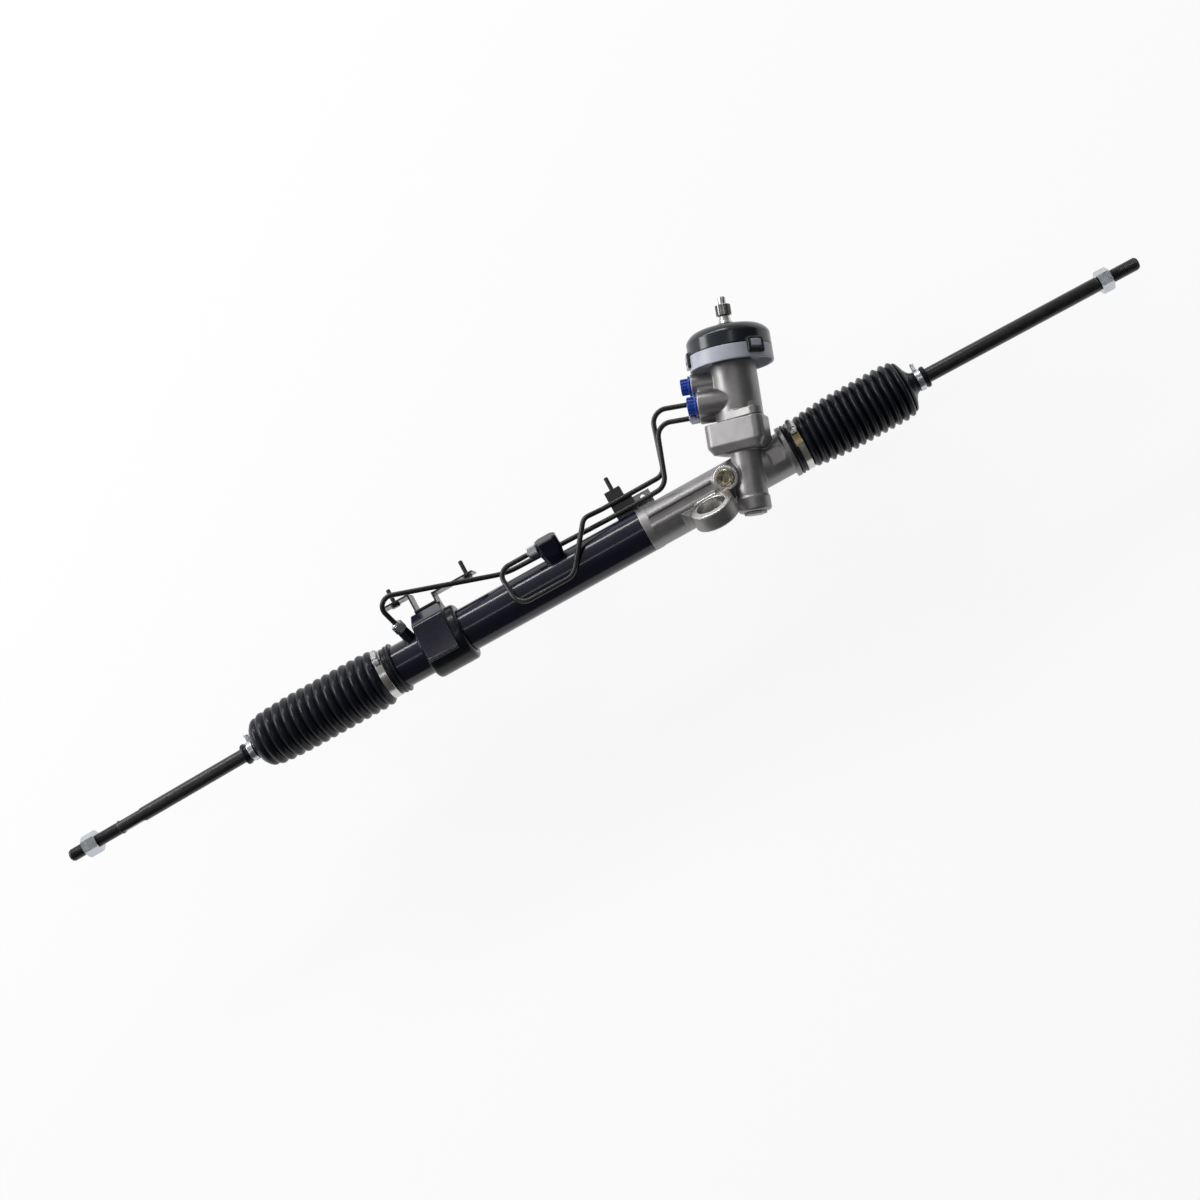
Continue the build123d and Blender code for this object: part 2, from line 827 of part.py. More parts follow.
lower_bearing = sleeve(
    across_tower(-pinion_half_face - 2 * end_gap), -lower_bearing_length,
    lower_bearing_r, journal_r + running_gap,
)
write(lower_bearing, "lower_bearing")
pinion_bearing = sleeve(
    across_tower(bearing_bottom), bearing_top - bearing_bottom, bearing_r, bearing_seat_r + running_gap
)
write(pinion_bearing, "pinion_bearing")

with BuildPart() as lower_cap:
    with BuildSketch(across_tower(tower_bottom - lower_cap_length)):
        RegularPolygon(lower_cap_r, 6)
    extrude(amount=lower_cap_length)
write(lower_cap, "lower_cap")

# Rotary valve sleeve, its sealing rings and the pins of the torsion bar
ring_pitch = (sleeve_top - pinion_head_top) / (sleeve_ring_count + 1)
ring_places = [pinion_head_top + ring_pitch * (index + 0.5) for index in range(sleeve_ring_count)]
with BuildPart() as valve_sleeve:
    with BuildSketch(across_tower(sleeve_bottom)):
        Circle(sleeve_r)
        Circle(pinion_head_r + seat_gap, mode=Mode.SUBTRACT)
    extrude(amount=sleeve_top - sleeve_bottom)
    for t in ring_places:
        with BuildSketch(across_tower(t)):
            Circle(sleeve_r)
            Circle(sleeve_r - sleeve_ring_depth, mode=Mode.SUBTRACT)
        extrude(amount=sleeve_ring_width, mode=Mode.SUBTRACT)
write(valve_sleeve, "valve_sleeve")
with BuildPart() as sleeve_rings:
    for t in ring_places:
        with BuildSketch(across_tower(t + seat_gap)):
            Circle(sleeve_ring_r)
            Circle(sleeve_r - sleeve_ring_depth + seat_gap, mode=Mode.SUBTRACT)
        extrude(amount=sleeve_ring_width - 2 * seat_gap)
write(sleeve_rings, "sleeve_rings")

# Input shaft: spigot, spool, plain shaft, serrated end and pilot tip
with BuildPart() as input_shaft:
    with BuildSketch(tower_profile):
        with BuildLine():
            Polyline(
                (torsion_bar_r + seat_gap, spigot_bottom), (spigot_r, spigot_bottom),
                (spigot_r, spool_bottom),
                (spool_r, spool_bottom), (spool_r, sleeve_top + end_gap), (input_r, sleeve_top + end_gap),
                (input_r, input_taper_bottom), (input_taper_r, input_taper_top),
                (input_neck_r, spline_bottom - spline_depth), (spline_r, spline_bottom + spline_depth),
                (spline_r, spline_top - spline_depth), (spline_r - spline_depth, spline_top),
                (tip_groove_r, spline_top), (tip_groove_r, spline_top + tip_groove_width),
                (tip_r, spline_top + tip_groove_width), (tip_r, tip_top - tip_chamfer),
                (tip_r - tip_chamfer, tip_top), (0, tip_top), (0, torsion_bar_top + seat_gap),
                (torsion_bar_r + seat_gap, torsion_bar_top + seat_gap), close=True,
            )
        make_face()
    revolve(axis=tower_axis)
    with BuildSketch(across_tower(spline_bottom)):
        with PolarLocations(spline_r, spline_teeth):
            RegularPolygon(spline_depth, 3, rotation=180)
    extrude(amount=spline_top - spline_bottom, mode=Mode.SUBTRACT)
write(input_shaft, "input_shaft")

with BuildPart() as torsion_bar:
    with BuildSketch(across_tower(torsion_bar_bottom)):
        Circle(torsion_bar_r)
    extrude(amount=torsion_bar_top - torsion_bar_bottom)
write(torsion_bar, "torsion_bar")

# Valve housing with its port bosses
port_places = (
    (port_upper_t, port_upper_front, port_upper_r, port_face_upper),
    (port_lower_t, port_lower_front, port_lower_r, port_face_lower),
    (port_a_t, port_a_front, port_pipe_r, port_face_lower),
    (port_b_t, port_b_front, port_pipe_r, port_face_lower),
)
upper_bearing_bottom = sleeve_top + 2 * end_gap
upper_bearing_top = upper_bearing_bottom + upper_bearing_length
with BuildPart() as valve_housing:
    with BuildSketch(across_tower(flange_top)):
        Circle(valve_r)
    extrude(amount=valve_top - flange_top)
    with BuildSketch(across_tower(valve_top)):
        Circle(valve_neck_r)
    extrude(amount=valve_neck_top - valve_top)
    with BuildSketch(across_tower(flange_top)):
        with BuildLine():
            CenterArc((0, 0), valve_r, 0, 360)
            for place in bolt_places:
                CenterArc(place, flange_ear_r, 0, 360)
        make_hull()
    extrude(amount=valve_flange_thickness)
    for t, front, radius, face in port_places:
        with BuildSketch(across_port(t, front)):
            Circle(radius)
        extrude(amount=face - port_edge)
        with BuildSketch(across_port(t, front, face - port_edge)):
            Circle(radius)
        extrude(amount=port_edge, taper=45)
    with BuildSketch(across_port(0, 0)):
        with Locations((0, (port_web_bottom + port_web_top) / 2)):
            Rectangle(2 * port_web_half, port_web_top - port_web_bottom)
    extrude(amount=port_face_lower - port_web_inset)
    with BuildSketch(across_tower(flange_top)):
        Circle(valve_bore_r)
    extrude(amount=upper_bearing_bottom - flange_top, mode=Mode.SUBTRACT)
    with BuildSketch(across_tower(upper_bearing_bottom)):
        Circle(upper_bearing_r + seat_gap)
    extrude(amount=valve_neck_top - upper_bearing_bottom, mode=Mode.SUBTRACT)
    for t, front, radius, face in port_places:
        with BuildSketch(across_port(t, front, face)):
            Circle(port_thread_r if radius > port_pipe_r else pipe_seat_r)
        extrude(amount=-port_depth, mode=Mode.SUBTRACT)
    with BuildSketch(across_tower(flange_top)):
        with Locations(*bolt_places):
            Circle(flange_bolt_r + seat_gap)
    extrude(amount=valve_flange_thickness, mode=Mode.SUBTRACT)
write(valve_housing, "valve_housing")

upper_bearing = sleeve(
    across_tower(upper_bearing_bottom), upper_bearing_length, upper_bearing_r, input_r + running_gap
)
write(upper_bearing, "upper_bearing")
input_seal = sleeve(
    across_tower(upper_bearing_top), input_seal_length, upper_bearing_r, input_r + rubber_gap
)
write(input_seal, "input_seal")

with BuildPart() as valve_bolts:
    with BuildSketch(across_tower(flange_bottom + flange_bolt_inset)):
        with Locations(*bolt_places):
            Circle(flange_bolt_r - seat_gap)
    extrude(amount=flange_top + valve_flange_thickness - flange_bottom - flange_bolt_inset)
    with BuildSketch(across_tower(flange_top + valve_flange_thickness)):
        with Locations(*bolt_places):
            RegularPolygon(bolt_head_r, 6)
    extrude(amount=bolt_head_length)
write(valve_bolts, "valve_bolts")


# Shipping plugs in the pressure and return ports
def port_plug(t, front, face):
    with BuildPart() as piece:
        with BuildSketch(across_port(t, front, face)):
            Circle(port_thread_r - seat_gap)
        extrude(amount=-plug_reach)
        with BuildSketch(across_port(t, front, face)):
            Circle(port_thread_r + plug_flange)
        extrude(amount=plug_flange_thickness)
        with BuildSketch(across_port(t, front, face + plug_flange_thickness)):
            Circle(port_thread_r)
            Circle(port_thread_r - plug_wall, mode=Mode.SUBTRACT)
            Rectangle(2 * port_thread_r - plug_wall, plug_wall)
        extrude(amount=plug_grip)
    return piece


pressure_plug = port_plug(port_lower_t, port_lower_front, port_face_lower)
write(pressure_plug, "pressure_plug")
return_plug = port_plug(port_upper_t, port_upper_front, port_face_upper)
write(return_plug, "return_plug")

# Dust cap: a domed cup whose skirt carries loops that hook over the ring's pegs
loop_turns = [loop_turn + index * 360 / loop_count for index in range(loop_count)]
window_width = peg_width + 2 * peg_gap
window_height = peg_high - peg_low + 2 * peg_gap
with BuildPart() as dust_cap:
    for turn in loop_turns:
        with BuildSketch(facing_out(cap_bottom, turn).offset(cap_r - cap_wall / 2)):
            with Locations((0, (loop_rise - loop_drop) / 2)):
                RectangleRounded(loop_width, loop_drop + loop_rise, loop_round)
        extrude(amount=cap_wall / 2 + loop_thickness)
    with BuildSketch(across_tower(cap_bottom)):
        Circle(cap_r + seat_gap)
    extrude(amount=-loop_drop, mode=Mode.SUBTRACT)
    with BuildSketch(tower_profile):
        with BuildLine():
            shoulder = RadiusArc((cap_r, cap_shoulder), (cap_crown_r, cap_crown_top), -cap_shoulder_r)
            outside = Polyline(
                shoulder @ 1, (cap_lip_r + cap_wall, cap_top), (cap_lip_r, cap_lip_top), (0, cap_lip_top)
            )
            under = (cap_crown_r, cap_crown_top - cap_wall)
            inside = RadiusArc(under, (cap_r - cap_wall, cap_shoulder), cap_shoulder_r - cap_wall)
            Polyline(outside @ 1, (0, cap_top - cap_wall), under)
            Polyline(inside @ 1, (cap_r - cap_wall, cap_bottom), (cap_r, cap_bottom), shoulder @ 0)
        make_face()
    revolve(axis=tower_axis)
    for turn in loop_turns:
        with BuildSketch(facing_out(cap_bottom, turn).offset(cap_r + loop_thickness)):
            with Locations((0, (peg_high + peg_low) / 2)):
                Rectangle(window_width, window_height)
        extrude(amount=-loop_thickness - 2 * cap_wall, mode=Mode.SUBTRACT)
    with BuildSketch(across_tower(valve_top)):
        Circle(input_r + rubber_gap)
    extrude(amount=tip_top - valve_top, mode=Mode.SUBTRACT)
write(dust_cap, "dust_cap")

# Ring that carries the cap, with a rim inside the skirt, three pegs and slots in its web
with BuildPart() as cap_ring:
    with BuildSketch(tower_profile):
        with BuildLine():
            Polyline(
                (cap_r, ring_bottom), (cap_r, cap_bottom - seat_gap), (ring_rim_r, cap_bottom - seat_gap),
                (ring_rim_r, cap_bottom + ring_rim_rise),
                (ring_rim_r - ring_wall, cap_bottom + ring_rim_rise),
                (ring_rim_r - ring_wall, ring_web_top), (0, ring_web_top),
                (0, ring_web_top - ring_web_thickness),
                (cap_r - ring_wall, ring_web_top - ring_web_thickness), (cap_r - ring_wall, ring_bottom),
                close=True,
            )
        make_face()
    revolve(axis=tower_axis)
    for turn in loop_turns:
        with BuildSketch(facing_out(cap_bottom, turn).offset(cap_r + peg_proud)):
            with Locations((0, (peg_high + peg_low) / 2)):
                Rectangle(peg_width, peg_high - peg_low)
        extrude(amount=-peg_proud - cap_wall - ring_wall / 2)
        with BuildSketch(turned_tower(ring_web_top - ring_web_thickness, turn)):
            with Locations(((ring_slot_inner_r + ring_slot_outer_r) / 2, 0)):
                SlotOverall(ring_slot_outer_r - ring_slot_inner_r, ring_slot_width)
        extrude(amount=ring_web_thickness, mode=Mode.SUBTRACT)
    with BuildSketch(across_tower(valve_top)):
        Circle(valve_neck_r + seat_gap)
    extrude(amount=cap_top - valve_top, mode=Mode.SUBTRACT)
write(cap_ring, "cap_ring")


# Square to a tie rod at a distance from its ball centre; local x points to the front.
# Way is 1 where the gear lies to the right of the ball, and -1 where it lies to its left.
def across_rod(ball, way, droop, distance):
    outwards = (-way * cos(droop), -sin(droop), 0)
    origin = spot(ball + outwards[0] * distance, outwards[1] * distance)
    return Plane(origin=origin, x_dir=(0, 0, 1), z_dir=outwards)


# Boots: bellows with a cuff at the gear end and a small neck that follows the tie rod
def boot(small, cone, folds_end, cuff_end, cuff_seat, fold_depth, shoulder, ball, droop):
    way = 1 if folds_end > small else -1
    pitch = (folds_end - cone) / boot_folds
    neck_outer = rod_r + rubber_gap + boot_small_wall
    valley = boot_r - fold_depth
    cavity = valley - boot_wall
    neck_start = abs(cone - ball) + shoulder - boot_small_wall
    with BuildPart() as piece:
        with BuildSketch(rack_profile):
            with BuildLine():
                points = [(cone - way * shoulder, 0), (cone - way * shoulder, neck_outer)]
                for index in range(boot_folds):
                    points += [(cone + pitch * index, valley), (cone + pitch * (index + 0.5), boot_r)]
                points += [(folds_end, valley), (folds_end, cuff_seat + boot_cuff_wall)]
                points += [(cuff_end, cuff_seat + boot_cuff_wall), (cuff_end, 0)]
                Polyline(*points, close=True)
            make_face()
        revolve(axis=rack_axis)
        with BuildSketch(rack_profile):
            with BuildLine():
                Polyline(
                    (cone - way * (shoulder - boot_small_wall), 0),
                    (cone - way * (shoulder - boot_small_wall), rod_r),
                    (cone + way * boot_small_wall, cavity), (folds_end - way * boot_small_wall, cavity),
                    (folds_end, cuff_seat + seat_gap), (cuff_end, cuff_seat + seat_gap), (cuff_end, 0),
                    close=True,
                )
            make_face()
        revolve(axis=rack_axis, mode=Mode.SUBTRACT)
        with BuildSketch(across_rod(ball, way, droop, neck_start)):
            Circle(neck_outer)
        extrude(amount=abs(small - ball) - neck_start)
        with BuildSketch(across_rod(ball, way, droop, 0)):
            Circle(rod_r + rubber_gap)
        extrude(amount=abs(small - ball) + boot_small_wall, mode=Mode.SUBTRACT)
    return piece


boot_left = boot(
    boot_left_small, boot_left_cone, boot_left_folds_end, cuff_left_end, tube_r, fold_depth_left,
    boot_left_shoulder, ball_left, droop_left,
)
write(boot_left, "boot_left")
boot_right = boot(
    boot_right_small, boot_right_cone, boot_right_folds_end, cuff_right_end, neck_r, fold_depth_right,
    boot_right_shoulder, ball_right, droop_right,
)
write(boot_right, "boot_right")


# Worm-screw band clamp on a boot's cuff
def band_clamp(x, cuff_seat):
    inner = cuff_seat + boot_cuff_wall + seat_gap
    outer = inner + clamp_thickness
    with BuildPart() as piece:
        with BuildSketch(across_rack(x - clamp_width / 2)):
            Circle(outer)
            Circle(inner, mode=Mode.SUBTRACT)
        extrude(amount=clamp_width)
        reach = outer + clamp_screw_r - clamp_screw_sunk
        seat = spot(x, reach * sin(clamp_screw_turn), reach * cos(clamp_screw_turn))
        along = (0, cos(clamp_screw_turn), -sin(clamp_screw_turn))
        with BuildSketch(Plane(origin=seat, x_dir=(1, 0, 0), z_dir=along)):
            Circle(clamp_screw_r)
        extrude(amount=clamp_screw_length / 2, both=True)
    return piece


clamp_left = band_clamp(clamp_left_x, tube_r)
write(clamp_left, "clamp_left")
clamp_right = band_clamp(clamp_right_x, neck_r)
write(clamp_right, "clamp_right")


# Inner tie rod: ball, neck, rod, wrench flats and threaded end with a rounded tip
def tie_rod(ball, way, droop, thread_length, from_tip, flats):
    outwards = (-way * cos(droop), -sin(droop), 0)
    profile = Plane(origin=spot(ball), x_dir=outwards, z_dir=(0, 0, 1))
    axis = Axis(spot(ball), outwards)
    thread_start = ball_to_tip - thread_length
    nut_face = ball_to_tip - from_tip + nut_face_gap
    with BuildPart() as piece:
        with BuildSketch(profile):
            with BuildLine():
                CenterArc((0, 0), ball_r, 0, 180)
                Line((-ball_r, 0), (ball_r, 0))
            make_face()
            with BuildLine():
                Polyline(
                    (0, 0), (0, ball_neck_r), (socket_back, ball_neck_r), (rod_shoulder, rod_r),
                    (thread_start, rod_r), (thread_start + thread_shoulder, nut_thread_r),
                    (nut_face, nut_thread_r), (nut_face, thread_r), (ball_to_tip - tip_round, thread_r),
                    (ball_to_tip, thread_r - tip_round), (ball_to_tip, 0), close=True,
                )
            make_face()
        revolve(axis=axis)
        if flats:
            for side in (-1, 1):
                with BuildSketch(across_rod(ball, way, droop, thread_start - flat_length)):
                    with Locations((0, side * (flat_half_width + rod_r / 2))):
                        Rectangle(2 * rod_r, rod_r)
                extrude(amount=flat_length, mode=Mode.SUBTRACT)
    return piece


def jam_nut(ball, way, droop, from_tip, length):
    with BuildPart() as piece:
        with BuildSketch(across_rod(ball, way, droop, ball_to_tip - from_tip - length)):
            RegularPolygon(nut_across_flats / 2, 6, major_radius=False)
            Circle(nut_thread_r + seat_gap, mode=Mode.SUBTRACT)
        extrude(amount=length)
    return piece


# Spring clip on the boot's small end, with two ears
def small_clip(ball, way, droop, from_ball):
    neck = rod_r + 2 * rubber_gap + boot_small_wall
    with BuildPart() as piece:
        with BuildSketch(across_rod(ball, way, droop, from_ball)):
            Circle(neck + 2 * clip_wire_r)
            Circle(neck, mode=Mode.SUBTRACT)
        extrude(amount=2 * clip_wire_r)
        with BuildSketch(across_rod(ball, way, droop, from_ball)):
            with Locations((-2 * clip_wire_r, way * neck), (2 * clip_wire_r, way * neck)):
                Rectangle(
                    2 * clip_wire_r, clip_ear, align=(Align.CENTER, Align.MIN if way > 0 else Align.MAX)
                )
        extrude(amount=2 * clip_wire_r)
    return piece


# Ball socket screwed into the rack's end, and the seat inside it
def socket(end, ball, way):
    outwards = -way
    with BuildPart() as piece:
        with BuildSketch(rack_profile):
            with BuildLine():
                Polyline(
                    (end - outwards * socket_stem_length, 0),
                    (end - outwards * socket_stem_length, socket_stem_r),
                    (end, socket_stem_r), (end + outwards * lock_washer_thickness, socket_stem_r),
                    (end + outwards * lock_washer_thickness, socket_r - socket_edge),
                    (end + outwards * (lock_washer_thickness + socket_edge), socket_r),
                    (ball + outwards * (socket_front - 2 * socket_edge), socket_r),
                    (ball + outwards * socket_front, socket_r - 2 * socket_edge),
                    (ball + outwards * socket_front, 0), close=True,
                )
            make_face()
        revolve(axis=rack_axis)
        with BuildSketch(rack_profile):
            with BuildLine():
                CenterArc((ball, 0), seat_r, 0, 180)
                Line((ball - seat_r, 0), (ball + seat_r, 0))
            make_face()
            with Locations((ball, 0)):
                Rectangle(socket_r, socket_lip_r, align=(Align.MIN if way < 0 else Align.MAX, Align.MIN))
        revolve(axis=rack_axis, mode=Mode.SUBTRACT)
    return piece


def ball_seat(ball, way):
    outwards = -way
    with BuildPart() as piece:
        with BuildSketch(rack_profile):
            with BuildLine():
                CenterArc((ball, 0), seat_r - seat_gap, 0, 180)
                Line((ball - seat_r + seat_gap, 0), (ball + seat_r - seat_gap, 0))
            make_face()
            with BuildLine():
                CenterArc((ball, 0), ball_r + running_gap, 0, 180)
                Line((ball - ball_r - running_gap, 0), (ball + ball_r + running_gap, 0))
            make_face(mode=Mode.SUBTRACT)
            with Locations((ball + outwards * (socket_front - 2 * socket_edge), 0)):
                Rectangle(2 * socket_r, 2 * socket_r, align=(Align.MIN if way < 0 else Align.MAX, Align.MIN),
                          mode=Mode.SUBTRACT)
        revolve(axis=rack_axis)
    return piece


tie_rod_left = tie_rod(ball_left, 1, droop_left, thread_length_left, nut_left_from_tip, True)
write(tie_rod_left, "tie_rod_left")
tie_rod_right = tie_rod(ball_right, -1, droop_right, thread_length_right, nut_right_from_tip, False)
write(tie_rod_right, "tie_rod_right")
jam_nut_left = jam_nut(ball_left, 1, droop_left, nut_left_from_tip, nut_left_length)
write(jam_nut_left, "jam_nut_left")
jam_nut_right = jam_nut(ball_right, -1, droop_right, nut_right_from_tip, nut_right_length)
write(jam_nut_right, "jam_nut_right")
small_clip_left = small_clip(ball_left, 1, droop_left, clip_left_from_ball)
write(small_clip_left, "small_clip_left")
small_clip_right = small_clip(ball_right, -1, droop_right, clip_right_from_ball)
write(small_clip_right, "small_clip_right")
socket_left = socket(rack_left, ball_left, 1)
write(socket_left, "socket_left")
socket_right = socket(rack_right, ball_right, -1)
write(socket_right, "socket_right")
ball_seat_left = ball_seat(ball_left, 1)
write(ball_seat_left, "ball_seat_left")
ball_seat_right = ball_seat(ball_right, -1)
write(ball_seat_right, "ball_seat_right")

with BuildPart() as lock_washers:
    for end, way in ((rack_left, -1), (rack_right, 1)):
        with BuildSketch(across_rack(end)):
            Circle(lock_washer_r)
            Circle(socket_stem_r + seat_gap, mode=Mode.SUBTRACT)
        extrude(amount=way * lock_washer_thickness)
write(lock_washers, "lock_washers")

# Rack guide yoke, its spring and the adjuster plug
with BuildPart() as yoke:
    with BuildSketch(Plane(origin=spot(pinion_x, 0, yoke_back), x_dir=(1, 0, 0), z_dir=(0, 0, 1))):
        Circle(yoke_r)
    extrude(amount=-yoke_back - tooth_module)
    with BuildSketch(across_rack(pinion_x - yoke_r - end_gap)):
        Circle(rack_r + running_gap)
    extrude(amount=2 * (yoke_r + end_gap), mode=Mode.SUBTRACT)
    with BuildSketch(Plane(origin=spot(pinion_x, 0, yoke_back), x_dir=(1, 0, 0), z_dir=(0, 0, 1))):
        Circle(yoke_pocket_r)
    extrude(amount=yoke_pocket_depth, mode=Mode.SUBTRACT)
write(yoke, "yoke")

plug_top = yoke_boss_back + yoke_plug_length - yoke_plug_proud
with BuildPart() as yoke_plug:
    with BuildSketch(Plane(origin=spot(pinion_x, 0, plug_top), x_dir=(1, 0, 0), z_dir=(0, 0, -1))):
        Circle(yoke_plug_r)
    extrude(amount=yoke_plug_length)
    with BuildSketch(yoke_plane.offset(-yoke_plug_proud)):
        RegularPolygon(yoke_socket_r, 6)
    extrude(amount=yoke_plug_length / 2, mode=Mode.SUBTRACT)
write(yoke_plug, "yoke_plug")

spring_low = plug_top + yoke_spring_wire_r + seat_gap
spring_high = yoke_back + yoke_pocket_depth - yoke_spring_wire_r - spring_gap
with BuildPart() as yoke_spring:
    with BuildLine(Plane(origin=spot(pinion_x, 0, spring_low), x_dir=(1, 0, 0), z_dir=(0, 0, 1))) as coil:
        Helix(
            pitch=(spring_high - spring_low) / yoke_spring_turns, height=spring_high - spring_low,
            radius=yoke_spring_r,
        )
    with BuildSketch(Plane(origin=coil.line @ 0, z_dir=coil.line % 0)):
        Circle(yoke_spring_wire_r)
    sweep(is_frenet=True)
write(yoke_spring, "yoke_spring")


# Saddle bracket over the bush: an arched strap with turned-out lips
def saddle_path(inset):
    top = saddle_top - inset
    out = saddle_side_out - inset
    half = saddle_top_half - inset / 2
    return [(-out, saddle_side_up), (-half, top), (half, top), (out, saddle_side_up)]


with BuildSketch(car_section(saddle_left + saddle_width)) as saddle_section:
    Polygon(*saddle_path(0), align=None)
    fillet(vertices().group_by(Axis.Y)[-1], radius=saddle_bend_r + saddle_sheet)
    with BuildSketch(mode=Mode.PRIVATE) as saddle_inside:
        Polygon(*saddle_path(saddle_sheet), align=None)
        fillet(vertices().group_by(Axis.Y)[-1], radius=saddle_bend_r)
    add(saddle_inside.sketch, mode=Mode.SUBTRACT)
    for side in (-1, 1):
        with Locations((side * (saddle_side_out - saddle_sheet), saddle_side_up)):
            Rectangle(
                saddle_lip + saddle_sheet, saddle_sheet,
                align=(Align.MIN if side > 0 else Align.MAX, Align.MAX),
            )
with BuildPart() as saddle_bracket:
    extrude(saddle_section.sketch, amount=saddle_width)
write(saddle_bracket, "saddle_bracket")

# Rubber bush round the tube, crowned below and filled up to the strap
with BuildPart() as saddle_bush:
    with BuildSketch(car_section(bush_left + bush_length)):
        Circle(bush_r)
    extrude(amount=bush_length)
    fillet(edges().filter_by(GeomType.CIRCLE), radius=bush_crown)
    with BuildSketch(car_section(saddle_left + saddle_width)):
        Polygon(*saddle_path(saddle_sheet + seat_gap), align=None)
        fillet(vertices().group_by(Axis.Y)[-1], radius=saddle_bend_r)
    extrude(amount=saddle_width)
    extrude(saddle_section.sketch, amount=saddle_width, mode=Mode.SUBTRACT)
    with BuildSketch(across_rack(bush_left)):
        Circle(tube_r + seat_gap)
    extrude(amount=bush_length, mode=Mode.SUBTRACT)
write(saddle_bush, "saddle_bush")

# Sheet strip welded to the saddle's back slope, with two legs and two level tabs for the studs
strip_deep = strip_front - strip_back
strip_plane = Plane(origin=spot(0, 0, strip_front), x_dir=(1, 0, 0), z_dir=(0, 0, 1))
with BuildPart() as stud_strip:
    with BuildSketch(strip_plane):
        for leg_x, tab_end, tab_y in (
            (strip_leg_left, strip_left_end, strip_left_y), (strip_leg_right, strip_right_end, strip_right_y)
        ):
            way = -1 if tab_end < leg_x else 1
            with Locations((leg_x, strip_foot_y)):
                Rectangle(
                    strip_sheet, tab_y - strip_foot_y,
                    align=(Align.MAX if way > 0 else Align.MIN, Align.MIN),
                )
            with Locations((tab_end, tab_y)):
                Rectangle(
                    abs(tab_end - leg_x) + strip_sheet, strip_sheet,
                    align=(Align.MIN if way < 0 else Align.MAX, Align.MAX),
                )
    extrude(amount=-strip_deep)
    with BuildSketch(car_section(strip_leg_right)):
        seat_line = saddle_path(-seat_gap)[:2]
        back_line = saddle_path(-seat_gap - strip_sheet)[:2]
        Polygon(*seat_line, *reversed(back_line), align=None)
    extrude(amount=strip_leg_right - strip_leg_left)
    with BuildSketch(car_section(saddle_left + saddle_width)):
        Polygon(*saddle_path(-seat_gap), align=None)
    extrude(amount=saddle_width, mode=Mode.SUBTRACT)
write(stud_strip, "stud_strip")


def stud(x, y, z, length):
    base = Plane(origin=spot(x, y, z), x_dir=(1, 0, 0), z_dir=(0, 1, 0))
    with BuildPart() as piece:
        with BuildSketch(base):
            Circle(stud_r)
        extrude(amount=length)
        chamfer(edges().group_by(Axis.Y)[-1], length=stud_r / 4)
    return piece


with BuildPart() as strip_studs:
    for x, y in ((stud_left_x, strip_left_y), (stud_right_x, strip_right_y)):
        add(stud(x, y, stud_z, stud_length).part)
        with BuildSketch(Plane(origin=spot(x, y - strip_sheet, stud_z), x_dir=(1, 0, 0), z_dir=(0, -1, 0))):
            RegularPolygon(stud_head_r, 6)
        extrude(amount=stud_head_thickness)
write(strip_studs, "strip_studs")

# Middle port block: a waisted block on the tube with the pipe nut on its left
with BuildPart() as middle_port:
    with BuildSketch(across_car(mid_port_x, mid_block_foot)):
        Rectangle(mid_foot_width, mid_foot_deep)
        chamfer(vertices(), length=mid_block_corner)
    with BuildSketch(across_car(mid_port_x, mid_block_waist)) as mid_outline:
        Rectangle(mid_block_width, mid_block_half * 2)
        chamfer(vertices(), length=mid_block_corner)
    loft()
    extrude(mid_outline.sketch, amount=mid_block_top - mid_block_waist)
    fillet(faces().sort_by(Axis(car_point(0, 0, 0), car_up))[-1].edges(), radius=mid_block_edge)
    with BuildSketch(across_rack(mid_port_x - mid_block_width)):
        Circle(tube_r + seat_gap)
    extrude(amount=2 * mid_block_width, mode=Mode.SUBTRACT)
write(middle_port, "middle_port")

# End port boss, leaning slightly to the left
end_port_way = (
    -sin(end_port_lean), cos(end_port_lean) * cos(car_tilt), cos(end_port_lean) * sin(car_tilt)
)


def along_end_port(height):
    foot = car_point(end_port_x, end_port_foot, 0)
    origin = tuple(foot[axis] + end_port_way[axis] * (height - end_port_foot) for axis in range(3))
    return Plane(origin=origin, z_dir=end_port_way)


with BuildPart() as end_port:
    with BuildSketch(along_end_port(end_port_foot)):
        Circle(end_port_foot_r)
    with BuildSketch(along_end_port(end_port_top)):
        Circle(end_port_r)
    loft()
    with BuildSketch(across_rack(end_port_x - end_port_foot)):
        Circle(tube_r + seat_gap)
    extrude(amount=2 * end_port_foot, mode=Mode.SUBTRACT)
write(end_port, "end_port")


# Flare nut round a pipe's end
def flare_nut(plane):
    with BuildPart() as piece:
        with BuildSketch(plane):
            RegularPolygon(nut_r, 6)
            Circle(pipe_r + seat_gap, mode=Mode.SUBTRACT)
        extrude(amount=nut_length)
    return piece


mid_nut_plane = Plane(
    origin=car_point(mid_port_x - mid_block_width / 2 - seat_gap, mid_nut_up, 0),
    x_dir=(0, 1, 0), z_dir=(-1, 0, 0),
)
nut_planes = {
    "pipe_nut_middle": mid_nut_plane,
    "pipe_nut_end": along_end_port(end_port_top + seat_gap),
    "pipe_nut_upper": across_port(port_a_t, port_a_front, port_face_lower + seat_gap),
    "pipe_nut_lower": across_port(port_b_t, port_b_front, port_face_lower + seat_gap),
}
for label, plane in nut_planes.items():
    write(flare_nut(plane), label)


# Steel pipe through corners chosen along its route, each with its own bend radius
def pipe(points, radii):
    with BuildPart() as piece:
        with BuildLine() as route:
            FilletPolyline(*points, radius=radii)
        with BuildSketch(Plane(origin=route.line @ 0, z_dir=route.line % 0)):
            Circle(pipe_r)
        sweep()
    return piece


def port_start(t, front):
    return tower_point(t, port_face_lower + running_gap, front)


